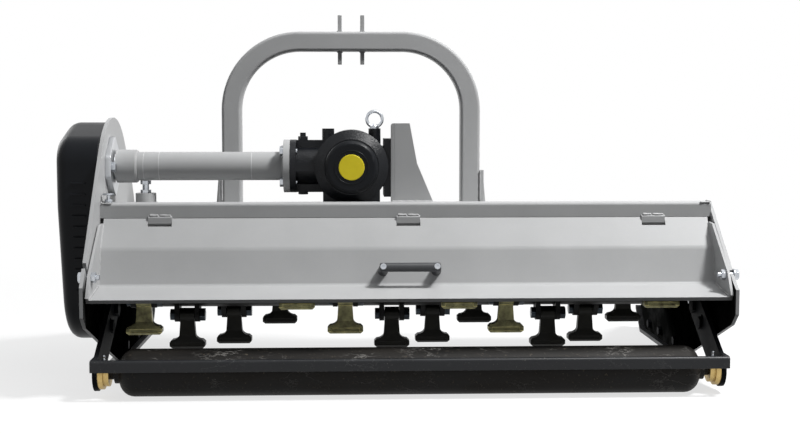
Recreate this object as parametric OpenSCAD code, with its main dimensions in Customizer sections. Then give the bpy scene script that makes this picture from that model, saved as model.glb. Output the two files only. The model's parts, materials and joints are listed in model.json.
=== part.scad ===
// Rear-mounted flail mower for a small tractor, seen from behind with +X to the right.
// +Y is the direction of travel, +Z is up, all lengths are millimetres.
// Inside the modules y is measured from the rotor axis and x from the middle of the working width.

/* [Housing] */
// Clear width between the side plates
working_w = 1450; // [1200:10:1800]
// Thickness of each side plate
plate_t = 8; // [5:0.1:10]
// Height of the rotor axis above the ground
rotor_z = 208; // [190:1:250]
// Rise from the rotor axis to the top of the rear beam
deck_rise = 216; // [205:1:260]
// Distance from the rotor axis back to the rear edge of the side plates
plate_rear = 409; // [395:1:470]
// Distance from the rotor axis forward to the nose of the side plates
nose_reach = 535; // [440:5:650]
// Radius of the round top of the left side plate
plate_arc_r = 212; // [195:1:230]
// Thickness of the deck sheet
deck_t = 6; // [4:0.5:8]
// Fall of the deck from the rear beam to its front edge
deck_fall = 35; // [25:1:45]
// Thickness of the skid runner under each side plate
skid_t = 10; // [6:1:14]
// Width of the skid runner
skid_w = 40; // [28:1:60]

/* [Tailgate] */
// Distance from the rotor axis back to the rear face of the beam
gate_top_reach = 195; // [185:1:230]
// Height of the rear beam
beam_h = 35; // [28:1:45]
// Depth of the rear beam
beam_d = 40; // [30:1:50]
// Thickness of the tailgate sheet
gate_t = 4; // [3:0.5:5]
// Radius of the hinge knuckles
knuckle_r = 9; // [8:0.5:11]
// Radius of the hinge pins
hinge_pin_r = 4; // [3:0.25:4.5]
// Width of a hinge strap
strap_w = 56; // [40:1:70]
// Length of the handle bar between its screws
handle_span = 124; // [90:1:180]
// Radius of the handle bar
handle_r = 10.5; // [8:0.5:14]
// Distance of the handle bar from the panel
handle_stand = 40; // [32:1:60]

/* [Rotor] */
// Outer radius of the rotor tube
tube_r = 57; // [47:0.1:70]
// Wall of the rotor tube
tube_wall = 8; // [5:0.5:12]
// Radius of the hammer eye
eye_r = 17; // [15:0.5:20]
// Width of the hammer eye
eye_w = 36; // [30:1:42]
// Thickness of a lug plate
lug_t = 12; // [8:1:14]
// Radius of the hammer bolts
hammer_bolt_r = 8; // [6:0.5:9]
// Distance from the hammer bolt to the cutting edge
hammer_len = 84; // [70:1:96]
// Width of the hammer foot
hammer_w = 88; // [70:1:94]
// Angle of the first hammer row behind the lowest point
row_start = 21.4; // [0:0.2:45]
// Swing of a hammer to each side of its lug
hammer_swing = 108; // [60:1:108]
// Radius of the rotor shaft
rotor_shaft_r = 20; // [16:1:25]

/* [Drive] */
// Rise of the gearbox axis above the top of the rear beam
gearbox_rise = 82; // [75:1:100]
// Distance of the drive shaft behind the rotor axis
drive_back = 55; // [40:1:70]
// Distance of the hitch centre to the left of the working width's middle
hitch_offset = 134; // [100:1:160]
// Outer radius of the drive tube
drive_tube_r = 35; // [32:1:40]
// Radius of the output shaft
output_shaft_r = 17.5; // [14:0.5:20]
// Radius of the gearbox casting
gearbox_r = 89; // [86:1:91]
// Length of the gearbox casting along the travel direction
gearbox_len = 178; // [160:1:200]
// Radius of the round rear cover
rear_cover_r = 64; // [56:1:72]
// Radius of the input shaft
input_shaft_r = 17.4; // [15:0.1:20]
// Radius of the drive pulley
drive_pulley_r = 85; // [75:1:95]
// Radius of the rotor pulley
rotor_pulley_r = 65; // [58:1:75]
// Room between the pulley shafts and the belt cover
cover_room = 7; // [4:1:30]
// Sheet thickness of the belt cover
cover_t = 4; // [3:0.5:5]

/* [Hitch] */
// Outside width of the hitch arch
arch_w = 663; // [600:1:720]
// Height of the arch above the ground
arch_top_z = 844; // [700:1:1020]
// Side of the square arch tube
arch_tube = 50; // [40:1:60]
// Wall of the arch tube
arch_wall = 5; // [3:0.5:6]
// Outer bend radius of the arch
arch_bend_r = 200; // [150:1:240]
// Distance of the arch centre plane in front of the rotor axis
arch_reach = 105; // [85:1:130]
// Thickness of the lugs and brackets
hitch_plate_t = 10; // [8:1:14]
// Clear gap between the top-link lugs
top_link_gap = 48; // [44:1:54]
// Radius of the top-link bores
top_bore_r = 9.75; // [9:0.25:13]
// Radius of the lower-link pins
link_pin_r = 11; // [10:0.5:14]
// Free length of the lower-link pins
link_pin_len = 95; // [70:1:120]
// Height from the lower-link pins to the top-link bore
mast_h = 460; // [440:1:480]

/* [Roller] */
// Radius of the roller drum
drum_r = 53.5; // [44:0.1:66]
// Distance of the drum axis behind the rotor axis
drum_back = 360; // [345:1:380]
// Radius of the roller axle
axle_r = 15; // [12:0.5:18]
// Thickness of the roller arms
arm_t = 10; // [8:1:14]
// Height of the cross bar
bar_h = 27; // [20:1:34]
// Thickness of the cross bar
bar_t = 10; // [6:1:14]
// Downward swing of the roller arms
arm_swing = 12; // [6:1:12]

/* [Fasteners] */
// Radius of the frame bolts
bolt_r = 6; // [5:0.5:6.5]
// Running clearance of turning fits
run_gap = 0.06; // [0.02:0.01:0.1]
// Clearance between neighbouring pieces that move
side_gap = 3; // [2:0.5:4]

/* [Hidden] */
$fn = 72;
// Overrun of every cut
cut = 1;
// Small gap of pieces that sit beside each other without touching
seat = 0.3;
// Gap round bolts in their holes
hole_gap = 0.4;
paint = "#b9bbbd";
black = "#1c1d20";
zinc = "#c9cbd0";
gold = "#8d8348";

// Side plates
half_w = working_w / 2;
plate_x = half_w + plate_t;
beam_top_z = rotor_z + deck_rise;
beam_low_z = beam_top_z - beam_h;
rear_face_h = 67;
rear_face_drop = 138;
rear_face_top_z = beam_low_z - rear_face_drop;
rear_face_low_z = rear_face_top_z - rear_face_h;
toe_run = 33;
toe_drop = 28;
heel_y = 24;
nose_chamfer = 60;
nose_rise = 130;
nose_back = 10;
front_corner_y = 297;
front_corner_drop = 26;
front_corner = [front_corner_y, beam_top_z - front_corner_drop];
shoulder_y = 264;
shoulder_rise = 27;
shoulder = [shoulder_y, beam_top_z + shoulder_rise];
plate_arc_y = 5;
plate_arc_drop = 11;
plate_arc_c = [plate_arc_y, beam_top_z - plate_arc_drop];
right_corner_y = -168;
right_corner = [right_corner_y, beam_top_z];
right_front_drop = 12;
right_knee = [20, 11];

// Deck and beam
beam_wall = 4;
deck_rear_y = -gate_top_reach + beam_d;
deck_front_y = 240;
apron_run = 20;
apron_drop = 74;
deck_slope = deck_fall / (deck_front_y - deck_rear_y);
function deck_z(y) = beam_top_z - (y - deck_rear_y) * deck_slope;

// Tailgate profile, from its top edge down to the lip
gate_gap = 1;
gate_upper = [-53, -67];
gate_lower = [-28, -83];
gate_flange_drop = 16;
gate_lip_inset = 15;
gate_lip = [3.5, -8];
gate_b = [-gate_top_reach, beam_low_z - gate_gap];
gate_c = gate_b + gate_upper;
gate_d = gate_c + gate_lower;
gate_e = [-plate_rear + gate_lip_inset, gate_d[1] - gate_flange_drop];
gate_f = gate_e + gate_lip;
gate_path = [gate_b, gate_c, gate_d, gate_e, gate_f];
gate_half = half_w - side_gap;
gate_end_t = 6;
strap_t = 6;
strap_rise = 5;
hinge_axis_up = 7;
notch_low = 16;
hinge_lug_t = 8;
hinge_x_share = 0.806;
hinge_x = [for (s = [-1, 0, 1]) s * hinge_x_share * half_w];
gate_dir = gate_upper / norm(gate_upper);
gate_in = [-gate_dir[1], gate_dir[0]];
hinge_axis = gate_b + gate_dir * hinge_axis_up + gate_in * knuckle_r;
end_top_drop = 14;
end_upper = [-42, -13];
end_middle = [39, 112];
end_lower = [8, 161];
end_rear = [gate_b + end_upper, [end_middle[0] - plate_rear, gate_b[1] - end_middle[1]],
  [end_lower[0] - plate_rear, gate_b[1] - end_lower[1]]];
gate_bolt_inset = [54, 120];
gate_bolt_at = [gate_bolt_inset[0] - plate_rear, gate_b[1] - gate_bolt_inset[1]];
gate_washer_share = 2.2;
gate_bolt_arm = gate_bolt_at - hinge_axis;
gate_slot_turn = 26;
gate_bolt_gap = 0.5;
handle_share = 0.62;
handle_at = gate_c + gate_lower * handle_share;
handle_dir = gate_lower / norm(gate_lower);
handle_out = [handle_dir[1], -handle_dir[0]];
handle_boss_r = 12;
handle_end_share = 0.8;
handle_round_share = 0.45;
handle_neck_share = 0.85;
handle_screw_r = 4;
handle_screw_head_r = 7;
handle_screw_head_h = 5;

// Rotor and hammers
eye_gap = 5;
eye_side_gap = 1;
pivot_r = tube_r + eye_r + eye_gap;
lug_gap = eye_w + 2 * eye_side_gap;
lug_outer_r = 18;
lug_root_r = 24;
rotor_end_gap = 36;
rotor_half = half_w - rotor_end_gap;
rotor_disc_t = 14;
rotor_collar_share = 1.6;
row_count = 8;
row_step = 360 / row_count;
// Angle of each row behind the lowest point, in steps of the row spacing
row_steps = [1, 0, -1, -2, 2, -3, -4, 3];
// Places of the three hammers of each row, as shares of half the working width
row_shares = [[-0.888, -0.207, 0.342], [-0.75, -0.047, 0.495], [-0.597, 0.099, 0.641], [-0.44, 0.252,
  0.789],
  [-0.371, 0.181, 0.877], [-0.819, -0.29, 0.419], [-0.673, -0.127, 0.568], [-0.519, 0.026, 0.714]];
function row_angle(i) = row_start + row_steps[i] * row_step;
function row_lean(i) = row_angle(i) - max(-hammer_swing, min(hammer_swing, row_angle(i)));
hammer_t = 20;
hammer_foot_t = 30;
hammer_foot_h = 22;
hammer_neck_w = 40;
hammer_shoulder = 14;
hammer_toe_r = 6;
flare_steps = 6;
hammer_panel_d = 2.5;
hammer_panel_share = 0.78;
hammer_flare_shares = [1.5, 0.7];
nut_across_share = 1.75;
nut_h_share = 0.85;
thin_nut_share = 0.45;
head_h_share = 0.7;

// Rotor bearings and their bolts
bearing_flange_r = 70;
bearing_flange_t = 12;
bearing_hub_r = 42;
bearing_hub_h = 16;
bearing_bolt_circle_r = 56;
bearing_bolts_n = 4;
shaft_end = 4;
cap_t = 4;

// Belt drive
drive_y = -drive_back;
drive_z = beam_top_z + gearbox_rise;
belt_n = 3;
belt_w = 13;
belt_h = 9;
belt_pitch = 17;
belt_margin = 1.5;
belt_gap = 0.6;
pulley_x0 = -plate_x - bearing_flange_t - bearing_hub_h - side_gap;
pulley_w = belt_n * belt_pitch + 2 * belt_margin;
pulley_x1 = pulley_x0 - pulley_w;
groove_d = 10;
cover_d = bearing_flange_t + bearing_hub_h + side_gap + pulley_w + shaft_end + cover_room + cover_t;
cover_x = plate_x + cover_d;
cover_rim_r = 28;
rim_steps = 8;
cover_top_rise = 7;
cover_top_r = 182;
cover_top = [[plate_arc_y, beam_top_z + cover_top_rise], cover_top_r];
cover_rear_y = -110;
cover_rear_rise = 10;
cover_rear_r = 68;
cover_rear = [[cover_rear_y, drive_z + cover_rear_rise], cover_rear_r];
cover_low_r = 134;
cover_low = [[0, rotor_z], cover_low_r];
louvre_n = 11;
louvre_t = 4;
louvre_x = [29, 62];
louvre_proud = 5;
louvre_drop = 36;
louvre_rise = 2;
louvre_top_z = drive_z - louvre_drop;
louvre_low_z = rotor_z + louvre_rise;

// Drive tube and its seats
flange_t = 16;
flange_r = 65;
sleeve_r = 40.5;
sleeve_len = 48;
diamond_t = 14;
diamond_side = 54;
diamond_side_rise = 18;
diamond_tip = 58;
diamond_tip_r = 14;
sleeve_gap = 4;
spigot_len = 20;
tube_start_x = -half_w + diamond_t + sleeve_gap;
flange_reach = 166;
shaft_flange_x = -hitch_offset - flange_reach;
tension_x_share = 0.881;
tension_x = -tension_x_share * half_w;
boss_r = 25;
boss_h = 25;
jack_r = 8;
jack_head_r = 13;
jack_head_h = 9;

// Gearbox
box_x = -hitch_offset;
box_back = 87;
box_rear_y = drive_y - box_back;
box_front_y = box_rear_y + gearbox_len;
box_wall = 12;
rear_cover_t = 22;
disc_r = 31;
disc_t = 2;
neck_r = 46;
neck_rib_r = 64;
neck_rib_t = 22;
box_dome = [22, 16];
box_base = [138, 130, 36];
box_flange_x = shaft_flange_x + flange_t;
box_flange_t = 15;
side_block = [25, 110, 141];
side_block_out = 79;
side_block_x = box_x + side_block_out;
block_hole_shares = [0.36, 0.38];
block_core_share = 0.35;
side_block_dz = -3;
boss_up = 8;
boss_rise = 3;
top_boss_r = 15;
top_boss_dx = 57;
front_neck_r = 52;
front_neck_len = 36;
input_reach = 140;
input_end_y = box_front_y + input_reach;
spline_n = 6;
spline_w = 8;
spline_d = 2.5;
spline_len = 76;
guard_r = 80;
guard_t = 4;
guard_len = 120;
guard_bell_share = 0.3;
eye_ring_r = 19;
eye_wire_r = 4;
eye_collar_h = 6;
eye_collar_share = 0.8;
eye_root_shares = [1.4, 1.8];
plug_cap_share = 1.2;
plug_in = 16;
plug_h = 9;
flange_bolt_n = 4;
flange_bolt_turn = 45;
pinion_teeth = 12;
crown_teeth = 36;
pinion_r = 22;
pinion_len = 24;
crown_r = 66;
crown_t = 20;
tooth_d = 5;
gear_gap = 0.6;
bearing_w = 16;
bearing_wall = 12;
bracket_t = 8;
bracket_x = side_block_x + side_block[0];
bracket_top = 105;
bracket_back = 62;
bracket_y0 = drive_y - bracket_back;
bracket_len = 124;
bracket_top_w = 37;
bracket_mid_w = 55;
bracket_low_w = 94;

// Hitch
arch_x = -hitch_offset;
arch_half = arch_w / 2;
arch_corner_r = 8;
lug_cc = top_link_gap + hitch_plate_t;
lug_up = 42;
lug_down = 32;
lug_front = 70;
lug_back = 12;
top_bore_ahead = 66;
top_bore_drop = 24;
spare_bore_ahead = 36;
spare_bore_rise = 22;
top_bore_y = arch_reach + top_bore_ahead;
top_bore_z = arch_top_z - top_bore_drop;
spare_bore_y = arch_reach + spare_bore_ahead;
spare_bore_z = arch_top_z + spare_bore_rise;
lug_notch_share = 1.5;
link_corner_share = 0.7;
pin_shoulder_share = 1.6;
link_stud_share = 0.8;
link_stud_r = link_pin_r * link_stud_share;
link_collar_t = 8;
link_pin_y = 312;
link_pin_z = top_bore_z - mast_h;
bracket_rise = 87;
link_end_r = 30;
gusset_w = 7;
gusset_h = 88;
gusset_t = 10;

// Roller
drum_z = drum_r;
drum_y = -drum_back;
arm_inset = 15;
arm_x = half_w - arm_inset;
arm_ground_gap = 13;
arm_end_r = drum_r - arm_ground_gap;
arm_pivot_y = -155;
arm_pivot_drop = 38;
arm_pivot = [arm_pivot_y, rotor_z - arm_pivot_drop];
spacer_share = 1.6;
arm_pivot_r = 40;
pivot_bolt_r = 10;
arm_slot_arm = 70;
arm_slot_r = 8.5;
arm_clamp_r = 8;
arm_vec = arm_pivot - [drum_y, drum_z];
arm_dir = arm_vec / norm(arm_vec);
clamp_at = arm_pivot - arm_dir * arm_slot_arm;
bar_y = drum_y - drum_r - side_gap - bar_t;
bar_rise = 12;
bar_z = drum_z + bar_rise;
drum_end_gap = 22;
roller_bearing_w = 24;
roller_bearing_r = 37;
roller_bearing_step_share = 0.82;
roller_bearing_flat_share = 0.55;
drum_half = arm_x - arm_t - roller_bearing_w - drum_end_gap;
drum_round_r = 34;
hub_r = 24;
drum_wall = 6;
drum_round_turn = 78;

// Skids
skid_leg_h = 46;
skid_leg_t = 6;
skid_bolt_share = 0.55;
skid_bolt_rear = 90;
skid_bolt_front = 70;
skid_bolt_z = skid_t + skid_leg_h * skid_bolt_share;
skid_bolt_y = [heel_y + skid_bolt_rear, (heel_y + nose_reach) / 2,
  nose_reach - nose_chamfer - skid_bolt_front];

// Front flaps
flap_y = 250;
flap_low_z = 118;
flap_rod_r = 7;
flap_eye_r = 12;
flap_top_z = beam_top_z - deck_fall - apron_drop - flap_eye_r - deck_t;
flap_t = 5;
flap_n = 20;
flap_space = 6;
flap_gap = 0.4;

// Box of the whole part, used to put the origin at the bottom middle
box_left = -cover_x;
box_right = plate_x + bearing_flange_t + bearing_hub_h + cap_t;
box_rear = bar_y;
box_front = nose_reach;
shift = [-(box_left + box_right) / 2, -(box_rear + box_front) / 2, 0];

// Helpers
module placed() { translate(shift) children(); }

// Draws a (y, z) outline and extrudes it from x0 to x1
module along_x(x0, x1) {
  translate([x0, 0, 0]) rotate([90, 0, 90]) linear_extrude(x1 - x0) children();
}

// Round bar along x through the (y, z) point p
module rod_x(x0, x1, p, r) {
  translate([x0, p[0], p[1]]) rotate([0, 90, 0]) cylinder(h = x1 - x0, r = r);
}

// Round bar along y through the (x, z) point p
module rod_y(y0, y1, p, r) {
  translate([p[0], y0, p[1]]) rotate([-90, 0, 0]) cylinder(h = y1 - y0, r = r);
}

// Hexagon bar along x, as a nut or a bolt head
module hex_x(x0, x1, p, across) {
  translate([x0, p[0], p[1]]) rotate([0, 90, 0]) cylinder(h = x1 - x0, r = across / sqrt(3), $fn = 6);
}

module both_sides() {
  children();
  mirror([1, 0, 0]) children();
}

// Everything below the deck's upper face, lifted by gap
module below_deck(gap) {
  y0 = -plate_rear;
  y1 = deck_front_y;
  along_x(-plate_x, plate_x) polygon([[y0, deck_z(y0) + gap], [y1, deck_z(y1) + gap], [y1, 0], [y0, 0]]);
}

// Bolt along x whose head is outside at x1 and whose nut is inside at x0
module bolt_x(x0, x1, p, r, nut_share = nut_h_share) {
  rod_x(x0 - 2 * r * nut_share, x1, p, r);
  hex_x(x1, x1 + r * head_h_share, p, 2 * r * nut_across_share);
  hex_x(x0 - 2 * r * nut_share, x0, p, 2 * r * nut_across_share);
}

function turn(v, a) = [v[0] * cos(a) - v[1] * sin(a), v[0] * sin(a) + v[1] * cos(a)];
function arc(c, r, a0, a1, steps = 24) =
  [for (i = [0 : steps]) c + r * [cos(a0 + (a1 - a0) * i / steps), sin(a0 + (a1 - a0) * i / steps)]];
function heading(v) = atan2(v[1], v[0]);
// Angle at the centre c of the point where a line from p touches the circle
function touch(p, c, r, side) = heading(p - c) + side * acos(r / norm(p - c));
function side_of(a, b) = let (u = (b - a) / norm(b - a)) [-u[1], u[0]];
function mitre(p, i, t) =
  i == 0 ? p[0] + t * side_of(p[0], p[1])
  : i == len(p) - 1 ? p[i] + t * side_of(p[i - 1], p[i])
  : let (a = side_of(p[i - 1], p[i]), b = side_of(p[i], p[i + 1]), m = (a + b) / norm(a + b))
    p[i] + m * t / (m * a);
// Outline of a folded sheet along the path p
function ribbon(p, t) = concat(p, [for (i = [len(p) - 1 : -1 : 0]) mitre(p, i, t)]);
function round_square(w, r) = [for (q = [0 : 3]) each arc(turn([w / 2 - r, w / 2 - r], 90 * q), r,
  90 * q, 90 * q + 90, 4)];
function row_pivot(i) = [-pivot_r * sin(row_angle(i)), rotor_z - pivot_r * cos(row_angle(i))];

// Lower outline shared by both side plates, from the rear edge round to the front corner
function lower_edge() = [[-plate_rear, rear_face_low_z], [-plate_rear + toe_run,
  rear_face_low_z - toe_drop],
  [heel_y, skid_t], [nose_reach - nose_chamfer, skid_t], [nose_reach, skid_t + nose_chamfer],
  [nose_reach - nose_back, skid_t + nose_rise]];

module left_outline() {
  rear = [-plate_rear, rear_face_top_z];
  a0 = touch(shoulder, plate_arc_c, plate_arc_r, 1);
  a1 = touch(rear, plate_arc_c, plate_arc_r, -1) + 360;
  polygon(concat(lower_edge(), [front_corner, shoulder], arc(plate_arc_c, plate_arc_r, a0, a1), [rear]));
}

module right_outline() {
  rear = [-plate_rear, rear_face_top_z];
  polygon(concat(lower_edge(), [front_corner - [0, right_front_drop], right_corner,
    rear + [right_knee[0], 0], rear - [0, right_knee[1]]]));
}

// Openings of a side plate: rotor shaft, roller bolts, flap rod and the curved gate slot
module plate_cuts() {
  translate([0, rotor_z]) circle(rotor_shaft_r + side_gap);
  translate(arm_pivot) circle(pivot_bolt_r + hole_gap);
  translate(clamp_at) circle(arm_clamp_r + hole_gap);
  translate([flap_y, flap_top_z]) circle(flap_rod_r + hole_gap);
  translate(hinge_axis) gate_slot();
}

module gate_slot() {
  r = norm(gate_bolt_arm);
  w = bolt_r + gate_bolt_gap;
  a1 = heading(gate_bolt_arm) + 360;
  translate(gate_bolt_arm) circle(w);
  polygon(concat(arc([0, 0], r - w, a1 - gate_slot_turn, a1), arc([0, 0], r + w, a1, a1 - gate_slot_turn)));
}

module bearing_holes(x0, x1) {
  for (i = [0 : bearing_bolts_n - 1])
    rod_x(x0, x1, [0, rotor_z] + turn([bearing_bolt_circle_r, 0], 45 + i * 360 / bearing_bolts_n),
      bolt_r + hole_gap);
}

module skid_holes(x0, x1) {
  for (y = skid_bolt_y) rod_x(x0, x1, [y, skid_bolt_z], bolt_r + hole_gap);
}

module side_plate_left() {
  color(paint) placed() difference() {
    along_x(-plate_x, -half_w) difference() {
      left_outline();
      plate_cuts();
      translate([drive_y, drive_z]) circle(output_shaft_r + side_gap);
    }
    bearing_holes(-plate_x - cut, -half_w + cut);
    skid_holes(-plate_x - cut, -half_w + cut);
    for (s = [-1, 1]) rod_x(-plate_x - cut, -half_w + cut, [drive_y + s * diamond_side, drive_z],
      bolt_r + hole_gap);
  }
}

module side_plate_right() {
  color(paint) placed() difference() {
    along_x(half_w, plate_x) difference() {
      right_outline();
      plate_cuts();
    }
    bearing_holes(half_w - cut, plate_x + cut);
    skid_holes(half_w - cut, plate_x + cut);
  }
}

module top_deck() {
  y0 = deck_rear_y + deck_t * deck_slope;
  path = [[y0, deck_z(y0)], [deck_front_y, beam_top_z - deck_fall],
    [deck_front_y + apron_run, beam_top_z - deck_fall - apron_drop]];
  color(paint) placed() along_x(-half_w, half_w) polygon(ribbon(path, -deck_t));
}

module rear_beam() {
  color(paint) placed() along_x(-half_w, half_w) translate([-gate_top_reach, beam_low_z]) difference() {
    square([beam_d, beam_h]);
    translate([beam_wall, beam_wall]) square([beam_d - 2 * beam_wall, beam_h - 2 * beam_wall]);
  }
}

// Three straps on the rear of the beam, rolled round the hinge pins at their lower ends
module hinge_straps() {
  flat_h = beam_low_z + strap_rise - hinge_axis[1];
  color(paint) placed() for (x = hinge_x) difference() {
    union() {
      along_x(x - strap_w / 2, x + strap_w / 2)
        translate([-gate_top_reach - strap_t, hinge_axis[1]]) square([strap_t, flat_h]);
      rod_x(x - strap_w / 2, x + strap_w / 2, hinge_axis, knuckle_r);
    }
    rod_x(x - strap_w, x + strap_w, hinge_axis, hinge_pin_r + run_gap);
  }
}

module hinge_pins() {
  len = strap_w / 2 + seat + hinge_lug_t;
  color(zinc) placed() for (x = hinge_x) rod_x(x - len, x + len, hinge_axis, hinge_pin_r);
}

module tailgate_panel() {
  lug_in = strap_w / 2 + seat;
  color(paint) placed() difference() {
    union() {
      along_x(-gate_half + gate_end_t, gate_half - gate_end_t) polygon(ribbon(gate_path, gate_t));
      for (x = hinge_x, s = [-1, 1]) difference() {
        along_x(x + s * (lug_in + hinge_lug_t / 2) - hinge_lug_t / 2, x + s * (lug_in + hinge_lug_t / 2)
          + hinge_lug_t / 2)
          union() {
            translate(hinge_axis) circle(knuckle_r);
            polygon([hinge_axis, gate_b + gate_in * gate_t,
              gate_b + gate_in * gate_t + gate_dir * notch_low * 2,
              hinge_axis + gate_dir * knuckle_r]);
          }
        along_x(x - strap_w, x + strap_w) polygon([gate_b - gate_dir * knuckle_r - gate_in * knuckle_r,
          gate_b - gate_dir * knuckle_r + gate_in * gate_t / 2,
            gate_b + gate_dir * notch_low * 3 + gate_in * gate_t / 2,
          gate_b + gate_dir * notch_low * 3 - gate_in * knuckle_r]);
      }
    }
    for (x = hinge_x) {
      along_x(x - lug_in, x + lug_in) polygon([gate_b - gate_dir * cut * 4 - gate_in * cut,
        gate_b - gate_dir * cut * 4 + gate_in * (gate_t + cut),
        gate_b + gate_dir * (hinge_axis_up + notch_low) + gate_in * (gate_t + cut),
        gate_b + gate_dir * (hinge_axis_up + notch_low) - gate_in * cut]);
      rod_x(x - strap_w, x + strap_w, hinge_axis, hinge_pin_r + hole_gap);
    }
    handle_holes();
  }
}

module handle_holes() {
  for (s = [-1, 1]) screw_at(s) translate([0, 0, -2 * gate_t]) cylinder(h = gate_t * 3,
    r = handle_screw_r + hole_gap);
}

// Frame at a handle screw: its z axis stands straight out of the panel
module screw_at(s) {
  translate([s * handle_span / 2, handle_at[0], handle_at[1]])
    rotate([heading(handle_out) - 90, 0, 0]) children();
}

module tailgate_ends() {
  top = gate_b + gate_dir * end_top_drop;
  shape = concat([top + gate_in * 2 * gate_t, top], end_rear, [gate_e, gate_f],
    [for (i = [4 : -1 : 1]) mitre(gate_path, i, gate_t)]);
  color(paint) placed() both_sides() along_x(gate_half - gate_end_t, gate_half) difference() {
    polygon(shape);
    translate(gate_bolt_at) circle(bolt_r + hole_gap);
  }
}

module gate_bolts() {
  head = 2 * bolt_r * nut_across_share;
  washer_r = bolt_r * gate_washer_share;
  washer_t = bolt_r / 2;
  x0 = gate_half - gate_end_t;
  x1 = plate_x + seat;
  color(zinc) placed() both_sides() {
    rod_x(x0 - 3 * bolt_r, x1, gate_bolt_at, bolt_r);
    rod_x(x1, x1 + washer_t, gate_bolt_at, washer_r);
    hex_x(x1 + washer_t, x1 + washer_t + 2 * bolt_r * head_h_share, gate_bolt_at, head);
    hex_x(x0 - 2 * bolt_r * nut_h_share, x0, gate_bolt_at, head);
  }
}

module handle() {
  bar = handle_at + handle_out * handle_stand;
  end = handle_span / 2 + handle_r * handle_end_share;
  round_r = handle_r * handle_round_share;
  color("#3a3c40") placed() difference() {
    union() {
      translate([0, bar[0], bar[1]]) rotate([0, 90, 0]) rotate_extrude()
        polygon(concat([[0, -end]], arc([handle_r - round_r, round_r - end], round_r, -90, 0, 6),
          arc([handle_r - round_r, end - round_r], round_r, 0, 90, 6), [[0, end]]));
      for (s = [-1, 1]) screw_at(s) cylinder(h = handle_stand, r1 = handle_boss_r,
        r2 = handle_r * handle_neck_share);
    }
    for (s = [-1, 1]) screw_at(s) {
      translate([0, 0, -cut]) cylinder(h = handle_stand * 2, r = handle_screw_r + hole_gap);
      translate([0, 0, handle_stand + handle_r - handle_screw_head_h])
        cylinder(h = handle_stand, r = handle_screw_head_r + seat);
    }
  }
}

module handle_screws() {
  color(zinc) placed() for (s = [-1, 1]) screw_at(s) {
    translate([0, 0, -gate_t * 2]) cylinder(h = handle_stand + handle_r - handle_screw_head_h + gate_t * 2,
      r = handle_screw_r);
    translate([0, 0, handle_stand + handle_r - handle_screw_head_h]) difference() {
      cylinder(h = handle_screw_head_h, r = handle_screw_head_r);
      translate([0, 0, handle_screw_head_h / 2]) cylinder(h = handle_screw_head_h, r = handle_screw_r,
        $fn = 6);
    }
    translate([0, 0, -gate_t - 2 * handle_screw_r]) cylinder(h = 2 * handle_screw_r,
      r = 2 * handle_screw_r * nut_across_share / sqrt(3), $fn = 6);
  }
}

// Bent square tube: two posts, two bends and the top bar
module arch_solid(w, r) {
  bend = arch_bend_r - arch_tube / 2;
  mid = arch_half - arch_tube / 2;
  for (s = [-1, 1]) translate([s * mid, 0, 0]) {
    translate([0, 0, deck_z(arch_reach) - w / 2])
      linear_extrude(arch_top_z - arch_bend_r - deck_z(arch_reach) + w / 2)
      polygon(round_square(w, r));
    translate([-s * bend, 0, arch_top_z - arch_bend_r]) rotate([90, 0, 0])
      rotate([0, 0, s > 0 ? 0 : 90]) rotate_extrude(angle = 90) translate([bend, 0])
        polygon(round_square(w, r));
  }
  translate([-(arch_half - arch_bend_r), 0, arch_top_z - arch_tube / 2]) rotate([90, 0, 90])
    linear_extrude(arch_w - 2 * arch_bend_r) polygon(round_square(w, r));
}

module hitch_arch() {
  color(paint) placed() difference() {
    translate([arch_x, arch_reach, 0]) difference() {
      arch_solid(arch_tube, arch_corner_r);
      arch_solid(arch_tube - 2 * arch_wall, arch_corner_r - arch_wall);
    }
    below_deck(0);
  }
}

// Two C-shaped plates that hook over the arch from the front
module top_link_lugs() {
  low = arch_top_z - arch_tube - lug_down;
  color(paint) placed() for (s = [-1, 1])
    along_x(arch_x + s * lug_cc / 2 - hitch_plate_t / 2, arch_x + s * lug_cc / 2 + hitch_plate_t / 2)
      difference() {
      polygon([[arch_reach - lug_back, low], [arch_reach + lug_front - lug_down, low],
        [top_bore_y + lug_down, top_bore_z - lug_down],
        [top_bore_y + lug_down, top_bore_z + lug_down / 2], [spare_bore_y + lug_down / 2,
          arch_top_z + lug_up],
        [arch_reach - lug_back, arch_top_z + lug_up]]);
      translate([arch_reach - arch_tube, arch_top_z - arch_tube - seat])
        square([arch_tube * lug_notch_share + seat, arch_tube + 2 * seat]);
      translate([top_bore_y, top_bore_z]) circle(top_bore_r);
      translate([spare_bore_y, spare_bore_z]) circle(top_bore_r);
    }
}

module arch_gussets() {
  z = deck_z(arch_reach + arch_tube / 2);
  color(paint) placed() difference() {
    translate([arch_x, arch_reach - gusset_t / 2, 0]) both_sides()
      translate([arch_half + hitch_plate_t, 0, 0]) rotate([90, 0, 0]) translate([0, 0, -gusset_t])
        linear_extrude(gusset_t) polygon([[0, z], [gusset_w, z], [0, z + gusset_h]]);
    below_deck(0);
  }
}

module lower_link_brackets() {
  y0 = arch_reach - arch_tube / 2;
  y1 = arch_reach + arch_tube / 2;
  front = deck_front_y + apron_run + side_gap;
  color(paint) placed() translate([arch_x, 0, 0]) both_sides() along_x(arch_half,
    arch_half + hitch_plate_t) difference() {
    union() {
      polygon([[y0, deck_z(y0)], [deck_front_y, deck_z(deck_front_y)], [front, deck_z(deck_front_y)],
        [front, link_pin_z - link_end_r / 2], [link_pin_y, link_pin_z - link_end_r + seat],
        [link_pin_y + link_end_r * link_corner_share, link_pin_z + link_end_r * link_corner_share], [y1,
          deck_z(y1) + bracket_rise],
        [y0, deck_z(y0) + bracket_rise]]);
      translate([link_pin_y, link_pin_z]) circle(link_end_r);
    }
    translate([link_pin_y, link_pin_z]) circle(link_stud_r + hole_gap);
  }
}

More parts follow.
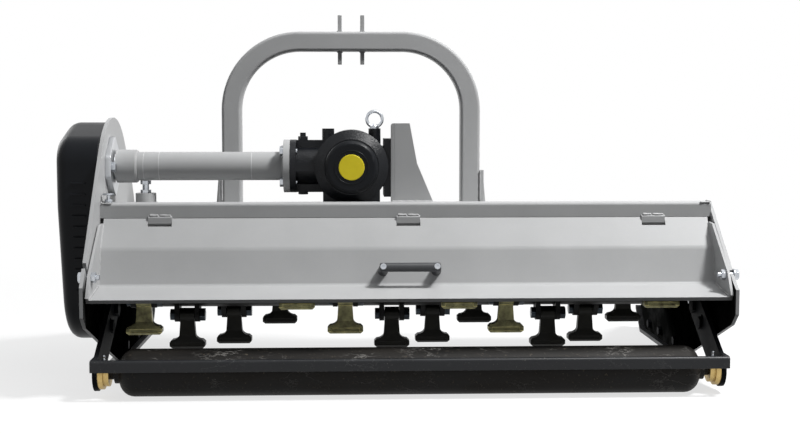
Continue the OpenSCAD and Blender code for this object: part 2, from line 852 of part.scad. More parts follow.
module lower_link_pins() {
  lynch_r = link_pin_r / 2;
  x0 = arch_half + hitch_plate_t + link_collar_t;
  x1 = x0 + link_pin_len;
  nut = 2 * link_stud_r * nut_h_share;
  color(zinc) placed() translate([arch_x, 0, 0]) both_sides() difference() {
    union() {
      rod_x(x0 - cut, x1, [link_pin_y, link_pin_z], link_pin_r);
      rod_x(x0 - link_collar_t, x0, [link_pin_y, link_pin_z], link_pin_r * pin_shoulder_share);
      rod_x(arch_half - nut, x0, [link_pin_y, link_pin_z], link_stud_r);
      hex_x(arch_half - nut, arch_half, [link_pin_y, link_pin_z], 2 * link_stud_r * nut_across_share);
    }
    translate([x1 - 2 * link_pin_r, link_pin_y, link_pin_z - 2 * link_pin_r])
      cylinder(h = 4 * link_pin_r, r = lynch_r);
  }
}

// Side plate against the gearbox with two sloping gussets
module gearbox_bracket() {
  foot = deck_z(bracket_y0) + seat;
  top = drive_z + bracket_top;
  shape = [[0, foot], [bracket_low_w, foot], [bracket_mid_w, drive_z + bracket_t], [bracket_top_w, top],
    [0, top]];
  color("#c3c5c8") placed() difference() {
    union() {
      along_x(bracket_x, bracket_x + bracket_t) polygon([[bracket_y0, foot], [bracket_y0 + bracket_len,
        deck_z(bracket_y0 + bracket_len)],
        [bracket_y0 + bracket_len, top - bracket_len / 2], [bracket_y0 + bracket_len / 2, top],
          [bracket_y0, top]]);
      for (y = [bracket_y0 + bracket_t, bracket_y0 + bracket_len])
        translate([bracket_x, y, 0]) rotate([90, 0, 0]) linear_extrude(bracket_t)
          intersection() {
            polygon(shape);
            translate([0, foot]) square([bracket_low_w,
              y > drive_y ? top - bracket_len / 2 - foot : top - foot]);
          }
    }
    block_holes(bracket_x - cut, bracket_x + bracket_t + cut);
  }
}

module block_holes(x0, x1) {
  for (y = [-1, 1], z = [-1, 1])
    rod_x(x0, x1, [drive_y + y * side_block[1] * block_hole_shares[0],
      drive_z + side_block_dz + z * side_block[2] * block_hole_shares[1]], bolt_r + hole_gap);
}

function flange_bolt_at(i) =
  [drive_y, drive_z] + turn([flange_r - 2 * bolt_r, 0], flange_bolt_turn + 360 / flange_bolt_n * i);

module flange_holes(x0, x1) {
  for (i = [1 : flange_bolt_n]) rod_x(x0, x1, flange_bolt_at(i), bolt_r + hole_gap);
}

module gearbox_housing() {
  inner_r = gearbox_r - box_wall;
  color(black) placed() difference() {
    union() {
      translate([box_x, box_rear_y, drive_z]) rotate([-90, 0, 0]) rotate_extrude()
        polygon([[0, 0], [gearbox_r - box_dome[0], 0], [gearbox_r, box_dome[1]], [gearbox_r,
          gearbox_len - box_wall],
          [gearbox_r - box_wall, gearbox_len], [0, gearbox_len]]);
      rod_y(box_front_y - cut, box_front_y + front_neck_len, [box_x, drive_z], front_neck_r);
      rod_x(box_flange_x, box_x, [drive_y, drive_z], neck_r);
      rod_x(box_flange_x, box_flange_x + box_flange_t, [drive_y, drive_z], flange_r);
      for (a = [0 : 90 : 270]) translate([box_flange_x, drive_y, drive_z]) rotate([a, 0, 0])
        translate([0, -neck_rib_t / 2, 0]) cube([box_x - box_flange_x, neck_rib_t, neck_rib_r]);
      translate([box_x - box_base[0] / 2, drive_y - box_base[1] / 2, drive_z - gearbox_r])
        cube(box_base);
      translate([side_block_x, drive_y - side_block[1] / 2, drive_z + side_block_dz - side_block[2] / 2])
        cube(side_block);
      translate([box_x, drive_y - side_block[1] * block_core_share,
        drive_z - side_block[2] * block_core_share])
        cube([side_block_x - box_x, 2 * side_block[1] * block_core_share,
          2 * side_block[2] * block_core_share]);
      for (s = [-1, 1]) translate([box_x + s * top_boss_dx, drive_y, drive_z])
        cylinder(h = gearbox_r + boss_rise, r = top_boss_r);
    }
    rod_y(box_rear_y + box_wall, box_front_y - box_wall, [box_x, drive_z], inner_r);
    rod_y(box_rear_y - cut, box_rear_y + box_wall + cut, [box_x, drive_z], rear_cover_r - box_wall);
    rod_y(box_front_y - box_wall - cut, box_front_y + front_neck_len + cut, [box_x, drive_z],
      input_shaft_r + bearing_wall);
    rod_x(box_flange_x - cut, box_x, [drive_y, drive_z], output_shaft_r + bearing_wall);
    block_holes(side_block_x + side_block[0] / 2, side_block_x + side_block[0] + cut);
    flange_holes(box_flange_x - cut, box_flange_x + box_flange_t + cut);
    translate([box_x + top_boss_dx, drive_y, drive_z + gearbox_r - boss_up * 2]) cylinder(h = gearbox_r,
      r = bolt_r + hole_gap);
    plug_holes();
    below_deck(seat);
  }
}

// Places of the breather on top of the neck and the drain below it
module plug_holes() {
  translate([box_flange_x + box_flange_t + plug_in, drive_y, drive_z - neck_rib_r - cut])
    cylinder(h = 2 * neck_rib_r + 2 * cut, r = bolt_r + hole_gap);
}

module gearbox_plugs() {
  x = box_flange_x + box_flange_t + plug_in;
  across = 2 * bolt_r * nut_across_share;
  color("#8f9194") placed() translate([x, drive_y, drive_z]) {
    translate([0, 0, neck_r - bolt_r]) cylinder(h = neck_rib_r - neck_r + bolt_r, r = bolt_r);
    translate([0, 0, neck_rib_r]) cylinder(h = plug_h, r = across / sqrt(3), $fn = 6);
    translate([0, 0, neck_rib_r + plug_h]) cylinder(h = plug_h, r = bolt_r * plug_cap_share);
    translate([0, 0, -neck_rib_r]) cylinder(h = neck_rib_r - neck_r + bolt_r, r = bolt_r);
    translate([0, 0, -neck_rib_r - bolt_r]) cylinder(h = bolt_r, r = across / sqrt(3), $fn = 6);
  }
}

module gearbox_rear_cover() {
  lip = rear_cover_t / 3;
  color(black) placed() translate([box_x, box_rear_y, drive_z]) rotate([90, 0, 0]) {
    rotate_extrude() polygon([[0, -lip], [rear_cover_r - box_wall - seat, -lip],
      [rear_cover_r - box_wall - seat, 0],
      [rear_cover_r, 0], [rear_cover_r, rear_cover_t - lip], [rear_cover_r - lip, rear_cover_t], [0,
        rear_cover_t]]);
  }
}

module oil_level_disc() {
  color("#d8b92c") placed() translate([box_x, box_rear_y - rear_cover_t, drive_z]) rotate([90, 0, 0])
    rotate_extrude() polygon([[0, 0], [disc_r, 0], [disc_r - disc_t / 2, disc_t], [0, disc_t]]);
}

module eyebolt() {
  base = drive_z + gearbox_r + boss_rise;
  color(zinc) placed() translate([box_x + top_boss_dx, drive_y, base]) {
    translate([0, 0, -boss_up * 2]) cylinder(h = boss_up * 2, r = bolt_r);
    cylinder(h = eye_collar_h, r = top_boss_r * eye_collar_share);
    translate([0, 0, eye_collar_h + eye_ring_r - eye_wire_r / 2]) rotate([90, 0, 0])
      rotate_extrude() translate([eye_ring_r, 0]) circle(eye_wire_r, $fn = 24);
    translate([0, 0, eye_collar_h]) cylinder(h = eye_wire_r * eye_root_shares[0],
      r1 = eye_wire_r * eye_root_shares[1], r2 = eye_wire_r);
  }
}

// Bolts of the tube flange and of the side block
module gearbox_bolts() {
  across = 2 * bolt_r * nut_across_share;
  head = 2 * bolt_r * head_h_share;
  x0 = shaft_flange_x;
  color(zinc) placed() {
    for (i = [1 : flange_bolt_n]) {
      p = flange_bolt_at(i);
      rod_x(x0, box_flange_x + box_flange_t + bolt_r / 2, p, bolt_r);
      hex_x(x0 - head, x0, p, across);
    }
    for (y = [-1, 1], z = [-1, 1]) {
      p = [drive_y + y * side_block[1] * block_hole_shares[0],
        drive_z + side_block_dz + z * side_block[2] * block_hole_shares[1]];
      rod_x(side_block_x + side_block[0] / 2, bracket_x + bracket_t, p, bolt_r);
      hex_x(bracket_x + bracket_t, bracket_x + bracket_t + head, p, across);
    }
  }
}

// Tube with a bolting flange at the gearbox and a sleeve at the side plate
module drive_tube() {
  tube_in = drive_tube_r - beam_wall;
  color(paint) placed() difference() {
    union() {
      rod_x(tube_start_x, shaft_flange_x + cut, [drive_y, drive_z], drive_tube_r);
      rod_x(tube_start_x, tube_start_x + sleeve_len, [drive_y, drive_z], sleeve_r);
      rod_x(shaft_flange_x, box_flange_x, [drive_y, drive_z], flange_r);
    }
    rod_x(tube_start_x - cut, box_flange_x + cut, [drive_y, drive_z], tube_in);
    flange_holes(shaft_flange_x - cut, box_flange_x + cut);
  }
}

// Two-bolt bearing flange inside the left side plate, with the tube's spigot
module shaft_bearing() {
  color(paint) placed() difference() {
    union() {
      along_x(-half_w, -half_w + diamond_t) translate([drive_y, drive_z]) hull() for (s = [-1, 1]) {
        translate([0, s * diamond_tip]) circle(diamond_tip_r);
        for (v = [-1, 1]) translate([s * diamond_side, v * diamond_side_rise]) circle(diamond_tip_r);
      }
      rod_x(-half_w, tube_start_x + spigot_len, [drive_y, drive_z], drive_tube_r - beam_wall - seat);
    }
    rod_x(-half_w - cut, tube_start_x + spigot_len + cut, [drive_y, drive_z], output_shaft_r + run_gap);
    for (s = [-1, 1]) rod_x(-half_w - cut, tube_start_x, [drive_y + s * diamond_side, drive_z],
      bolt_r + hole_gap);
  }
}

module tension_boss() {
  z = deck_z(drive_y);
  color(paint) placed() difference() {
    translate([tension_x, drive_y, z - boss_r * deck_slope]) cylinder(h = boss_h + boss_r * deck_slope,
      r = boss_r);
    along_x(tension_x - 2 * boss_r, tension_x + 2 * boss_r) polygon([[deck_rear_y, beam_top_z],
      [deck_front_y, beam_top_z - deck_fall],
      [deck_front_y, 0], [deck_rear_y, 0]]);
    translate([tension_x, drive_y, z + boss_r * deck_slope]) cylinder(h = 2 * boss_h,
      r = jack_r + hole_gap);
  }
}

module jack_bolt() {
  top = drive_z - drive_tube_r - seat;
  low = deck_z(drive_y) + boss_r * deck_slope;
  color(zinc) placed() translate([tension_x, drive_y, 0]) {
    translate([0, 0, low]) cylinder(h = top - low, r = jack_r);
    translate([0, 0, top - jack_head_h]) cylinder(h = jack_head_h, r = jack_head_r, $fn = 6);
    translate([0, 0, deck_z(drive_y) + boss_h]) cylinder(h = jack_r, r = jack_head_r, $fn = 6);
  }
}

// Disc with a rounded outer rim, one corner of the belt cover
module puck(p, r, rim, h) {
  translate([-plate_x, p[0], p[1]]) rotate([0, -90, 0]) rotate_extrude($fn = 48)
    polygon(concat([[0, 0], [r, 0]], arc([r - rim, h - rim], rim, 0, 90, rim_steps), [[0, h]]));
}

module cover_form(inset, h) {
  hull() for (c = [cover_top, cover_rear, cover_low]) puck(c[0], c[1] - inset, cover_rim_r - inset, h);
}

module belt_cover() {
  span = cover_low[0] - cover_top[0];
  face = heading(span) - acos((cover_top[1] - cover_low[1]) / norm(span));
  out = [cos(face), sin(face)];
  color(black) placed() {
    difference() {
      cover_form(0, cover_d);
      translate([cut, 0, 0]) cover_form(cover_t, cover_d - cover_t + cut);
    }
    for (i = [0 : louvre_n - 1]) {
      z = louvre_low_z + (louvre_top_z - louvre_low_z) * i / (louvre_n - 1);
      dz = min(0, z - cover_top[0][1]);
      straight = z < cover_top[0][1] + cover_top[1] * out[1];
      y = straight ? (cover_top[1] + out * cover_top[0] - out[1] * z) / out[0]
        : cover_top[0][0] - sqrt(cover_top[1] * cover_top[1] - dz * dz);
      along_x(-plate_x - louvre_x[1], -plate_x - louvre_x[0])
        translate([y, z]) rotate(straight ? face : 180) translate([-cover_t / 2, -louvre_t / 2])
          square([cover_t / 2 + louvre_proud, louvre_t]);
    }
  }
}

module belt_outline(grow) {
  hull() {
    translate([drive_y, drive_z]) circle(drive_pulley_r + grow);
    translate([0, rotor_z]) circle(rotor_pulley_r + grow);
  }
}

module drive_belts() {
  color("#161616") placed() for (i = [0 : belt_n - 1]) {
    x = pulley_x0 - belt_pitch * (i + 0.5) - belt_margin;
    along_x(x - belt_w / 2, x + belt_w / 2) difference() {
      belt_outline(seat);
      belt_outline(seat - belt_h);
    }
  }
}

// Grooved belt wheel on a shaft along x
module pulley(p, r, bore) {
  half = belt_w / 2 + belt_gap;
  grooves = [for (i = [0 : belt_n - 1]) each let (m = belt_margin + belt_pitch * (i + 0.5))
    [[r, m - half], [r - groove_d - belt_gap, m - half], [r - groove_d - belt_gap, m + half], [r,
      m + half]]];
  translate([pulley_x0, p[0], p[1]]) rotate([0, -90, 0])
    rotate_extrude() polygon(concat([[bore + seat, 0], [r, 0]], grooves, [[r, pulley_w], [bore + seat,
      pulley_w]]));
}

module rotor_pulley() { color("#55585c") placed() pulley([0, rotor_z], rotor_pulley_r, rotor_shaft_r); }

module drive_pulley() { color("#55585c") placed() pulley([drive_y, drive_z], drive_pulley_r,
  output_shaft_r); }

// Runner under the plate, a leg on the plate's outer face and a raised nose
module skids() {
  inner = half_w - (skid_w - plate_t) / 2;
  color("#3d3f43") placed() both_sides() difference() {
    union() {
      along_x(inner, inner + skid_w) polygon([[heel_y, 0], [nose_reach - nose_chamfer, 0],
        [nose_reach, nose_chamfer], [nose_reach, nose_chamfer + skid_t],
        [nose_reach - nose_chamfer, skid_t], [heel_y, skid_t]]);
      along_x(plate_x, plate_x + skid_leg_t) polygon([[heel_y + skid_leg_h, skid_t],
        [nose_reach - nose_chamfer, skid_t],
        [nose_reach - nose_chamfer / 2, skid_t + nose_chamfer / 2], [nose_reach - nose_chamfer,
          skid_t + skid_leg_h],
        [heel_y + skid_leg_h, skid_t + skid_leg_h]]);
    }
    skid_holes(half_w - cut, plate_x + skid_leg_t + cut);
  }
}

module skid_bolts() {
  color(zinc) placed() both_sides() for (y = skid_bolt_y) bolt_x(half_w, plate_x + skid_leg_t, [y,
    skid_bolt_z], bolt_r);
}

module rotor_bearings() {
  hub_x = plate_x + bearing_flange_t + bearing_hub_h;
  color("#4a4d52") placed() {
    both_sides() difference() {
      union() {
        rod_x(plate_x, plate_x + bearing_flange_t, [0, rotor_z], bearing_flange_r);
        rod_x(plate_x, hub_x, [0, rotor_z], bearing_hub_r);
      }
      rod_x(plate_x - cut, hub_x + cut, [0, rotor_z], rotor_shaft_r + run_gap);
      bearing_holes(plate_x - cut, plate_x + bearing_flange_t + cut);
    }
    rod_x(hub_x, hub_x + cap_t, [0, rotor_z], bearing_hub_r);
  }
}

module bearing_bolts() {
  color(zinc) placed() {
    both_sides() for (i = [0 : bearing_bolts_n - 1])
      bolt_x(half_w, plate_x + bearing_flange_t,
        [0, rotor_z] + turn([bearing_bolt_circle_r, 0], 45 + i * 360 / bearing_bolts_n), bolt_r);
    mirror([1, 0, 0]) for (s = [-1, 1])
      bolt_x(half_w - diamond_t, plate_x, [drive_y + s * diamond_side, drive_z], bolt_r);
  }
}

// Plastic bell round the input shaft
module pto_guard() {
  y0 = box_front_y + front_neck_len;
  color("#222326") placed() translate([box_x, y0, drive_z]) rotate([-90, 0, 0]) rotate_extrude()
    polygon([[front_neck_r - box_wall, 0], [front_neck_r + guard_t, 0], [guard_r,
      guard_len * guard_bell_share], [guard_r, guard_len],
      [guard_r - guard_t, guard_len], [guard_r - guard_t, guard_len * guard_bell_share + guard_t],
        [front_neck_r, guard_t],
      [front_neck_r - box_wall, guard_t]]);
}

module flap_rod() {
  color(zinc) placed() rod_x(-plate_x, plate_x, [flap_y, flap_top_z], flap_rod_r);
}

// Row of hanging plates that keep stones in at the front
module front_flaps() {
  pitch = (working_w - flap_space) / flap_n;
  w = pitch - flap_space;
  color(paint) placed() for (i = [0 : flap_n - 1]) {
    x = -half_w + flap_space + pitch * i;
    along_x(x, x + w) difference() {
      union() {
        translate([flap_y, flap_top_z]) circle(flap_eye_r);
        translate([flap_y - flap_t / 2, flap_low_z]) square([flap_t, flap_top_z - flap_low_z]);
      }
      translate([flap_y, flap_top_z]) circle(flap_rod_r + flap_gap);
    }
  }
}

// Tube with end discs and a shaft through both bearings
module rotor_tube() {
  left_end = -pulley_x1 + shaft_end;
  right_end = plate_x + bearing_flange_t + bearing_hub_h - side_gap;
  color(black) placed() {
    difference() {
      rod_x(-rotor_half, rotor_half, [0, rotor_z], tube_r);
      rod_x(-rotor_half + rotor_disc_t, rotor_half - rotor_disc_t, [0, rotor_z], tube_r - tube_wall);
    }
    rod_x(-left_end, -rotor_half + cut, [0, rotor_z], rotor_shaft_r);
    rod_x(rotor_half - cut, right_end, [0, rotor_z], rotor_shaft_r);
    for (s = [-1, 1]) rod_x(s * rotor_half - (s < 0 ? side_gap * 3 : 0),
      s * rotor_half + (s > 0 ? side_gap * 3 : 0),
      [0, rotor_z], rotor_shaft_r * rotor_collar_share);
  }
}

// Places each hammer of row i with its pivot along x and its lug pointing straight down
module at_row(i) {
  for (share = row_shares[i]) translate([share * half_w, 0, rotor_z]) rotate([-row_angle(i), 0, 0])
    children();
}

module rotor_lugs() {
  color(black) placed() for (i = [0 : row_count - 1]) at_row(i) for (s = [-1, 1]) difference() {
    along_x(s * (lug_gap + lug_t) / 2 - lug_t / 2, s * (lug_gap + lug_t) / 2 + lug_t / 2) difference() {
      union() {
        translate([0, -pivot_r]) circle(lug_outer_r);
        translate([-lug_root_r, -tube_r - cut]) square([2 * lug_root_r, tube_r / 2]);
        polygon([[-lug_root_r, -tube_r], [-lug_outer_r, -pivot_r], [lug_outer_r, -pivot_r], [lug_root_r,
          -tube_r]]);
      }
      circle(tube_r + seat);
      translate([0, -pivot_r]) circle(hammer_bolt_r + hole_gap);
    }
  }
}

// Bolt with a round head on the left and a nut on the right
module hammer_bolts() {
  grip = lug_gap / 2 + lug_t;
  head = 2 * hammer_bolt_r * head_h_share;
  nut = 2 * hammer_bolt_r * nut_h_share;
  across = 2 * hammer_bolt_r * nut_across_share;
  color(zinc) placed() for (i = [0 : row_count - 1]) at_row(i) {
    rod_x(-grip, grip + nut, [0, -pivot_r], hammer_bolt_r);
    rod_x(-grip - head, -grip, [0, -pivot_r], across / 2);
    hex_x(grip, grip + nut, [0, -pivot_r], across);
  }
}

// Outline of a hammer in its own plane, pivot at the origin and edge below
module hammer_outline() {
  foot_top = -hammer_len + hammer_foot_h;
  neck_top = -lug_outer_r - side_gap;
  flare = (hammer_w - hammer_neck_w) / 2 - hammer_toe_r;
  side = concat([[eye_w / 2, 0], [eye_w / 2, neck_top]],
    [for (i = [0 : flare_steps]) let (a = 90 * i / flare_steps)
      [hammer_neck_w / 2 + flare * (1 - cos(a)), foot_top + hammer_shoulder * (1 - sin(a))]],
    [[hammer_w / 2, foot_top - hammer_toe_r], [hammer_w / 2, -hammer_len + hammer_toe_r],
      [hammer_w / 2 - hammer_toe_r, -hammer_len]]);
  polygon(concat(side, [for (i = [len(side) - 1 : -1 : 0]) [-side[i][0], side[i][1]]]));
}

// One hammer: eye, tapering neck and wide foot with a shallow panel on both faces
module hammer() {
  panel = [hammer_w * hammer_panel_share, hammer_foot_h * hammer_panel_share / 2];
  difference() {
    union() {
      rod_x(-eye_w / 2, eye_w / 2, [0, 0], eye_r);
      intersection() {
        rotate([90, 0, 0]) translate([0, 0, -hammer_foot_t / 2]) linear_extrude(hammer_foot_t)
          hammer_outline();
        along_x(-hammer_w, hammer_w) polygon([[-hammer_t / 2, 0], [-hammer_t / 2,
          -hammer_len + hammer_foot_h * hammer_flare_shares[0]],
          [-hammer_foot_t / 2, -hammer_len + hammer_foot_h * hammer_flare_shares[1]],
            [-hammer_foot_t / 2, -hammer_len + hammer_toe_r],
          [-hammer_foot_t / 2 + hammer_toe_r, -hammer_len], [hammer_foot_t / 2 - hammer_toe_r, -hammer_len],
          [hammer_foot_t / 2, -hammer_len + hammer_toe_r], [hammer_foot_t / 2,
            -hammer_len + hammer_foot_h * hammer_flare_shares[1]],
          [hammer_t / 2, -hammer_len + hammer_foot_h * hammer_flare_shares[0]], [hammer_t / 2, 0]]);
      }
    }
    rod_x(-eye_w, eye_w, [0, 0], hammer_bolt_r + run_gap);
    for (s = [-1, 1]) translate([-panel[0] / 2, s * hammer_foot_t / 2 - hammer_panel_d,
      -hammer_len + hammer_toe_r])
      cube([panel[0], 2 * hammer_panel_d, panel[1]]);
  }
}

// Row i of hammers, hanging from their bolts or leaning on the tube
module hammers_row(i) {
  p = row_pivot(i);
  color(gold) placed() for (share = row_shares[i])
    translate([share * half_w, p[0], p[1]]) rotate([-row_lean(i), 0, 0]) hammer();
}

module hammers_row_1() { hammers_row(0); }
module hammers_row_2() { hammers_row(1); }
module hammers_row_3() { hammers_row(2); }
module hammers_row_4() { hammers_row(3); }
module hammers_row_5() { hammers_row(4); }
module hammers_row_6() { hammers_row(5); }
module hammers_row_7() { hammers_row(6); }
module hammers_row_8() { hammers_row(7); }

module output_shaft() {
  color("#9a9ca0") placed()
    rod_x(pulley_x1 - shaft_end, box_x - crown_r + pinion_len + side_gap, [drive_y, drive_z],
      output_shaft_r);
}

module pinion_gear() {
  x0 = box_x - crown_r;
  color("#8a8c90") placed() difference() {
    rod_x(x0, x0 + pinion_len, [drive_y, drive_z], pinion_r);
    rod_x(x0 - cut, x0 + pinion_len + cut, [drive_y, drive_z], output_shaft_r + seat);
    for (i = [0 : pinion_teeth - 1]) translate([x0, drive_y, drive_z]) rotate([i * 360 / pinion_teeth, 0,
      0])
      translate([-cut, -tooth_d / 2, pinion_r - tooth_d / 2]) cube([pinion_len + 2 * cut, tooth_d,
        tooth_d]);
  }
}

module crown_gear() {
  y0 = drive_y + pinion_r + gear_gap;
  color("#8a8c90") placed() difference() {
    rod_y(y0, y0 + crown_t, [box_x, drive_z], crown_r);
    rod_y(y0 - cut, y0 + crown_t + cut, [box_x, drive_z], input_shaft_r + seat);
    for (i = [0 : crown_teeth - 1]) translate([box_x, y0, drive_z]) rotate([0, i * 360 / crown_teeth, 0])
      translate([crown_r - pinion_len, -tooth_d, -tooth_d / 2]) cube([pinion_len + cut, 2 * tooth_d,
        tooth_d]);
  }
}

// Input shaft with a six-spline end
module input_shaft() {
  y0 = drive_y + pinion_r + gear_gap;
  color("#9a9ca0") placed() difference() {
    rod_y(y0, input_end_y, [box_x, drive_z], input_shaft_r);
    for (i = [0 : spline_n - 1]) translate([box_x, input_end_y - spline_len, drive_z]) rotate([0,
      i * 360 / spline_n, 0])
      translate([input_shaft_r - spline_d, 0, -spline_w / 2]) cube([2 * spline_d, spline_len + cut,
        spline_w]);
  }
}

// Ring along x or y between a shaft and the casting
module gearbox_bearings() {
  x0 = box_flange_x + box_flange_t;
  color("#77797d") placed() {
    for (x = [x0, x0 + 2 * bearing_w]) difference() {
      rod_x(x, x + bearing_w, [drive_y, drive_z], output_shaft_r + bearing_wall - seat);
      rod_x(x - cut, x + bearing_w + cut, [drive_y, drive_z], output_shaft_r + run_gap);
    }
    for (y = [box_front_y - box_wall, box_front_y + bearing_w]) difference() {
      rod_y(y, y + bearing_w, [box_x, drive_z], input_shaft_r + bearing_wall - seat);
      rod_y(y - cut, y + bearing_w + cut, [box_x, drive_z], input_shaft_r + run_gap);
    }
  }
}

// Arms from the roller bearings up to the pivots on the side plates
module roller_arms() {
  slot_a = heading(clamp_at - arm_pivot) + 360;
  color(black) placed() both_sides() along_x(arm_x - arm_t, arm_x) difference() {
    union() {
      hull() {
        translate([drum_y, drum_z]) circle(arm_end_r);
        translate(arm_pivot) circle(arm_pivot_r);
      }
      translate([bar_y + bar_t, bar_z]) square([drum_r, bar_h]);
    }
    translate([drum_y, drum_z]) circle(axle_r + side_gap);
    translate(arm_pivot) circle(pivot_bolt_r + run_gap);
    for (a = [0, -arm_swing]) translate(arm_pivot + arm_slot_arm * [cos(slot_a + a), sin(slot_a + a)])
      circle(arm_slot_r);
    polygon([for (p = concat(arc([0, 0], arm_slot_arm - arm_slot_r, slot_a - arm_swing, slot_a, 8),
      arc([0, 0], arm_slot_arm + arm_slot_r, slot_a, slot_a - arm_swing, 8))) arm_pivot + p]);
  }
}

module cross_bar() {
  color(black) placed() along_x(-arm_x, arm_x) translate([bar_y, bar_z]) square([bar_t, bar_h]);
}

module roller_bearings() {
  x0 = arm_x - arm_t - roller_bearing_w;
  color("#b08d3e") placed() both_sides() difference() {
    union() {
      rod_x(x0 + roller_bearing_w / 2, arm_x - arm_t, [drum_y, drum_z], roller_bearing_r);
      rod_x(x0, x0 + roller_bearing_w, [drum_y, drum_z], roller_bearing_r * roller_bearing_step_share);
    }
    rod_x(x0 - cut, arm_x, [drum_y, drum_z], axle_r + run_gap);
    along_x(x0 - cut, arm_x) translate([drum_y - roller_bearing_r,
      drum_z + roller_bearing_r * roller_bearing_flat_share]) square(2 * roller_bearing_r);
  }
}

// Hollow drum with rounded ends and two stub axles
module roller_drum() {
  reach = arm_x - arm_t / 2;
  hub_x = drum_half + drum_end_gap / 2;
  core_x = drum_half - drum_round_r;
  color("#26221f") placed() difference() {
    translate([0, drum_y, drum_z]) rotate([0, 90, 0]) rotate_extrude()
      polygon(concat([[0, -reach], [axle_r, -reach], [axle_r, -hub_x], [hub_r, -hub_x], [hub_r,
        -drum_half]],
        arc([drum_r - drum_round_r, -core_x], drum_round_r, -drum_round_turn, 0, 6),
        arc([drum_r - drum_round_r, core_x], drum_round_r, 0, drum_round_turn, 6),
        [[hub_r, drum_half], [hub_r, hub_x], [axle_r, hub_x], [axle_r, reach], [0, reach]]));
    rod_x(-core_x, core_x, [drum_y, drum_z], drum_r - drum_wall);
  }
}

// Pivot and clamp bolts of the roller arms with their spacers
module roller_bolts() {
  color(zinc) placed() both_sides() {
    bolt_x(arm_x - arm_t - seat, plate_x, arm_pivot, pivot_bolt_r, thin_nut_share);
    rod_x(arm_x + seat, half_w, arm_pivot, pivot_bolt_r * spacer_share);
    bolt_x(arm_x - arm_t - seat, plate_x, clamp_at, arm_clamp_r, thin_nut_share);
    rod_x(arm_x + seat, half_w, clamp_at, arm_clamp_r * spacer_share);
  }
}

side_plate_left();
side_plate_right();
top_deck();
rear_beam();
hinge_straps();
hitch_arch();
top_link_lugs();
arch_gussets();
lower_link_brackets();
lower_link_pins();
gearbox_bracket();
gearbox_housing();
gearbox_rear_cover();
oil_level_disc();
eyebolt();
gearbox_plugs();
gearbox_bolts();
gearbox_bearings();
drive_tube();
shaft_bearing();
tension_boss();
jack_bolt();
belt_cover();
drive_belts();
skids();
skid_bolts();
rotor_bearings();
bearing_bolts();
pto_guard();
roller_bolts();
flap_rod();
front_flaps();
tailgate_panel();
tailgate_ends();
hinge_pins();
handle();
handle_screws();
gate_bolts();
rotor_tube();
rotor_lugs();
hammer_bolts();
rotor_pulley();
output_shaft();
drive_pulley();
pinion_gear();
input_shaft();
crown_gear();
roller_arms();
cross_bar();
roller_bearings();
roller_drum();
hammers_row_1();
hammers_row_2();
hammers_row_3();
hammers_row_4();
hammers_row_5();
hammers_row_6();
hammers_row_7();
hammers_row_8();
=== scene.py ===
"""Look of a rear-mounted flail mower: finishes, rounded edges, welds and small fittings."""

import json
import logging
import math
from dataclasses import dataclass, field, replace
from enum import Enum

import bmesh
import bpy
from mathutils import Matrix, Vector


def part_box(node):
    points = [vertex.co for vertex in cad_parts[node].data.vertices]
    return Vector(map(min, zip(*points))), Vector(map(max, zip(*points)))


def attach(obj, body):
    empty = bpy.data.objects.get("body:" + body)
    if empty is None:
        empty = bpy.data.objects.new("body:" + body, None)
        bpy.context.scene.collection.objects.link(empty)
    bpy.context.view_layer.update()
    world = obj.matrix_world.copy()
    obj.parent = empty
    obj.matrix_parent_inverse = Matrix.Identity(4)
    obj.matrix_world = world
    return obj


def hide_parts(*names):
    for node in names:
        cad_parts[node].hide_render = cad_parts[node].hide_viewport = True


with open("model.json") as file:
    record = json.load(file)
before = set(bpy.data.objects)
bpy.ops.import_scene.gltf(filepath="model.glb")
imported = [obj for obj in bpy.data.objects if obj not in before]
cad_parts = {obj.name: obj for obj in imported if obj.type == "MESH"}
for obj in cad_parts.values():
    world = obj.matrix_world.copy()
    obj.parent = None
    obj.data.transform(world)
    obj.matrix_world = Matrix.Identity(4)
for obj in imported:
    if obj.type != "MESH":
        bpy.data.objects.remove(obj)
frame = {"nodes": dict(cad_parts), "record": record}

LOG = logging.getLogger("mower")
MM = 0.001  # Metres in a millimetre.
SAME = 1e-6  # Distance in metres within which two points are one.
UP = Vector((0, 0, 1))
SIDES = (-1, 1)  # Left and right.

Span = tuple[float, float]
Colour = tuple[float, float, float]
Point = tuple[float, float, float]
Outline = tuple[Span, ...]
Socket = bpy.types.NodeSocket
Thing = bpy.types.Object
Shape = bmesh.types.BMesh
Edges = list[bmesh.types.BMEdge]


def turn_to(direction: Vector) -> Matrix:
    """Gives the rotation that takes the Z axis to a direction."""
    return UP.rotation_difference(direction).to_matrix().to_4x4()


def in_scene(name: str, data: bpy.types.ID) -> Thing:
    """Makes an object and links it to the scene.

    Args:
        name: Name of the object.
        data: Its mesh, lamp or camera.

    Returns:
        The object.
    """
    made = bpy.data.objects.new(name, data)
    bpy.context.scene.collection.objects.link(made)
    return made


class Axis(Enum):
    """Direction that a turned or straight piece runs along."""

    X = (1.0, 0.0, 0.0)
    Y = (0.0, 1.0, 0.0)
    Z = (0.0, 0.0, 1.0)

    def turn(self) -> Matrix:
        """Gives the rotation that takes the Z axis to this direction."""
        return turn_to(Vector(self.value))


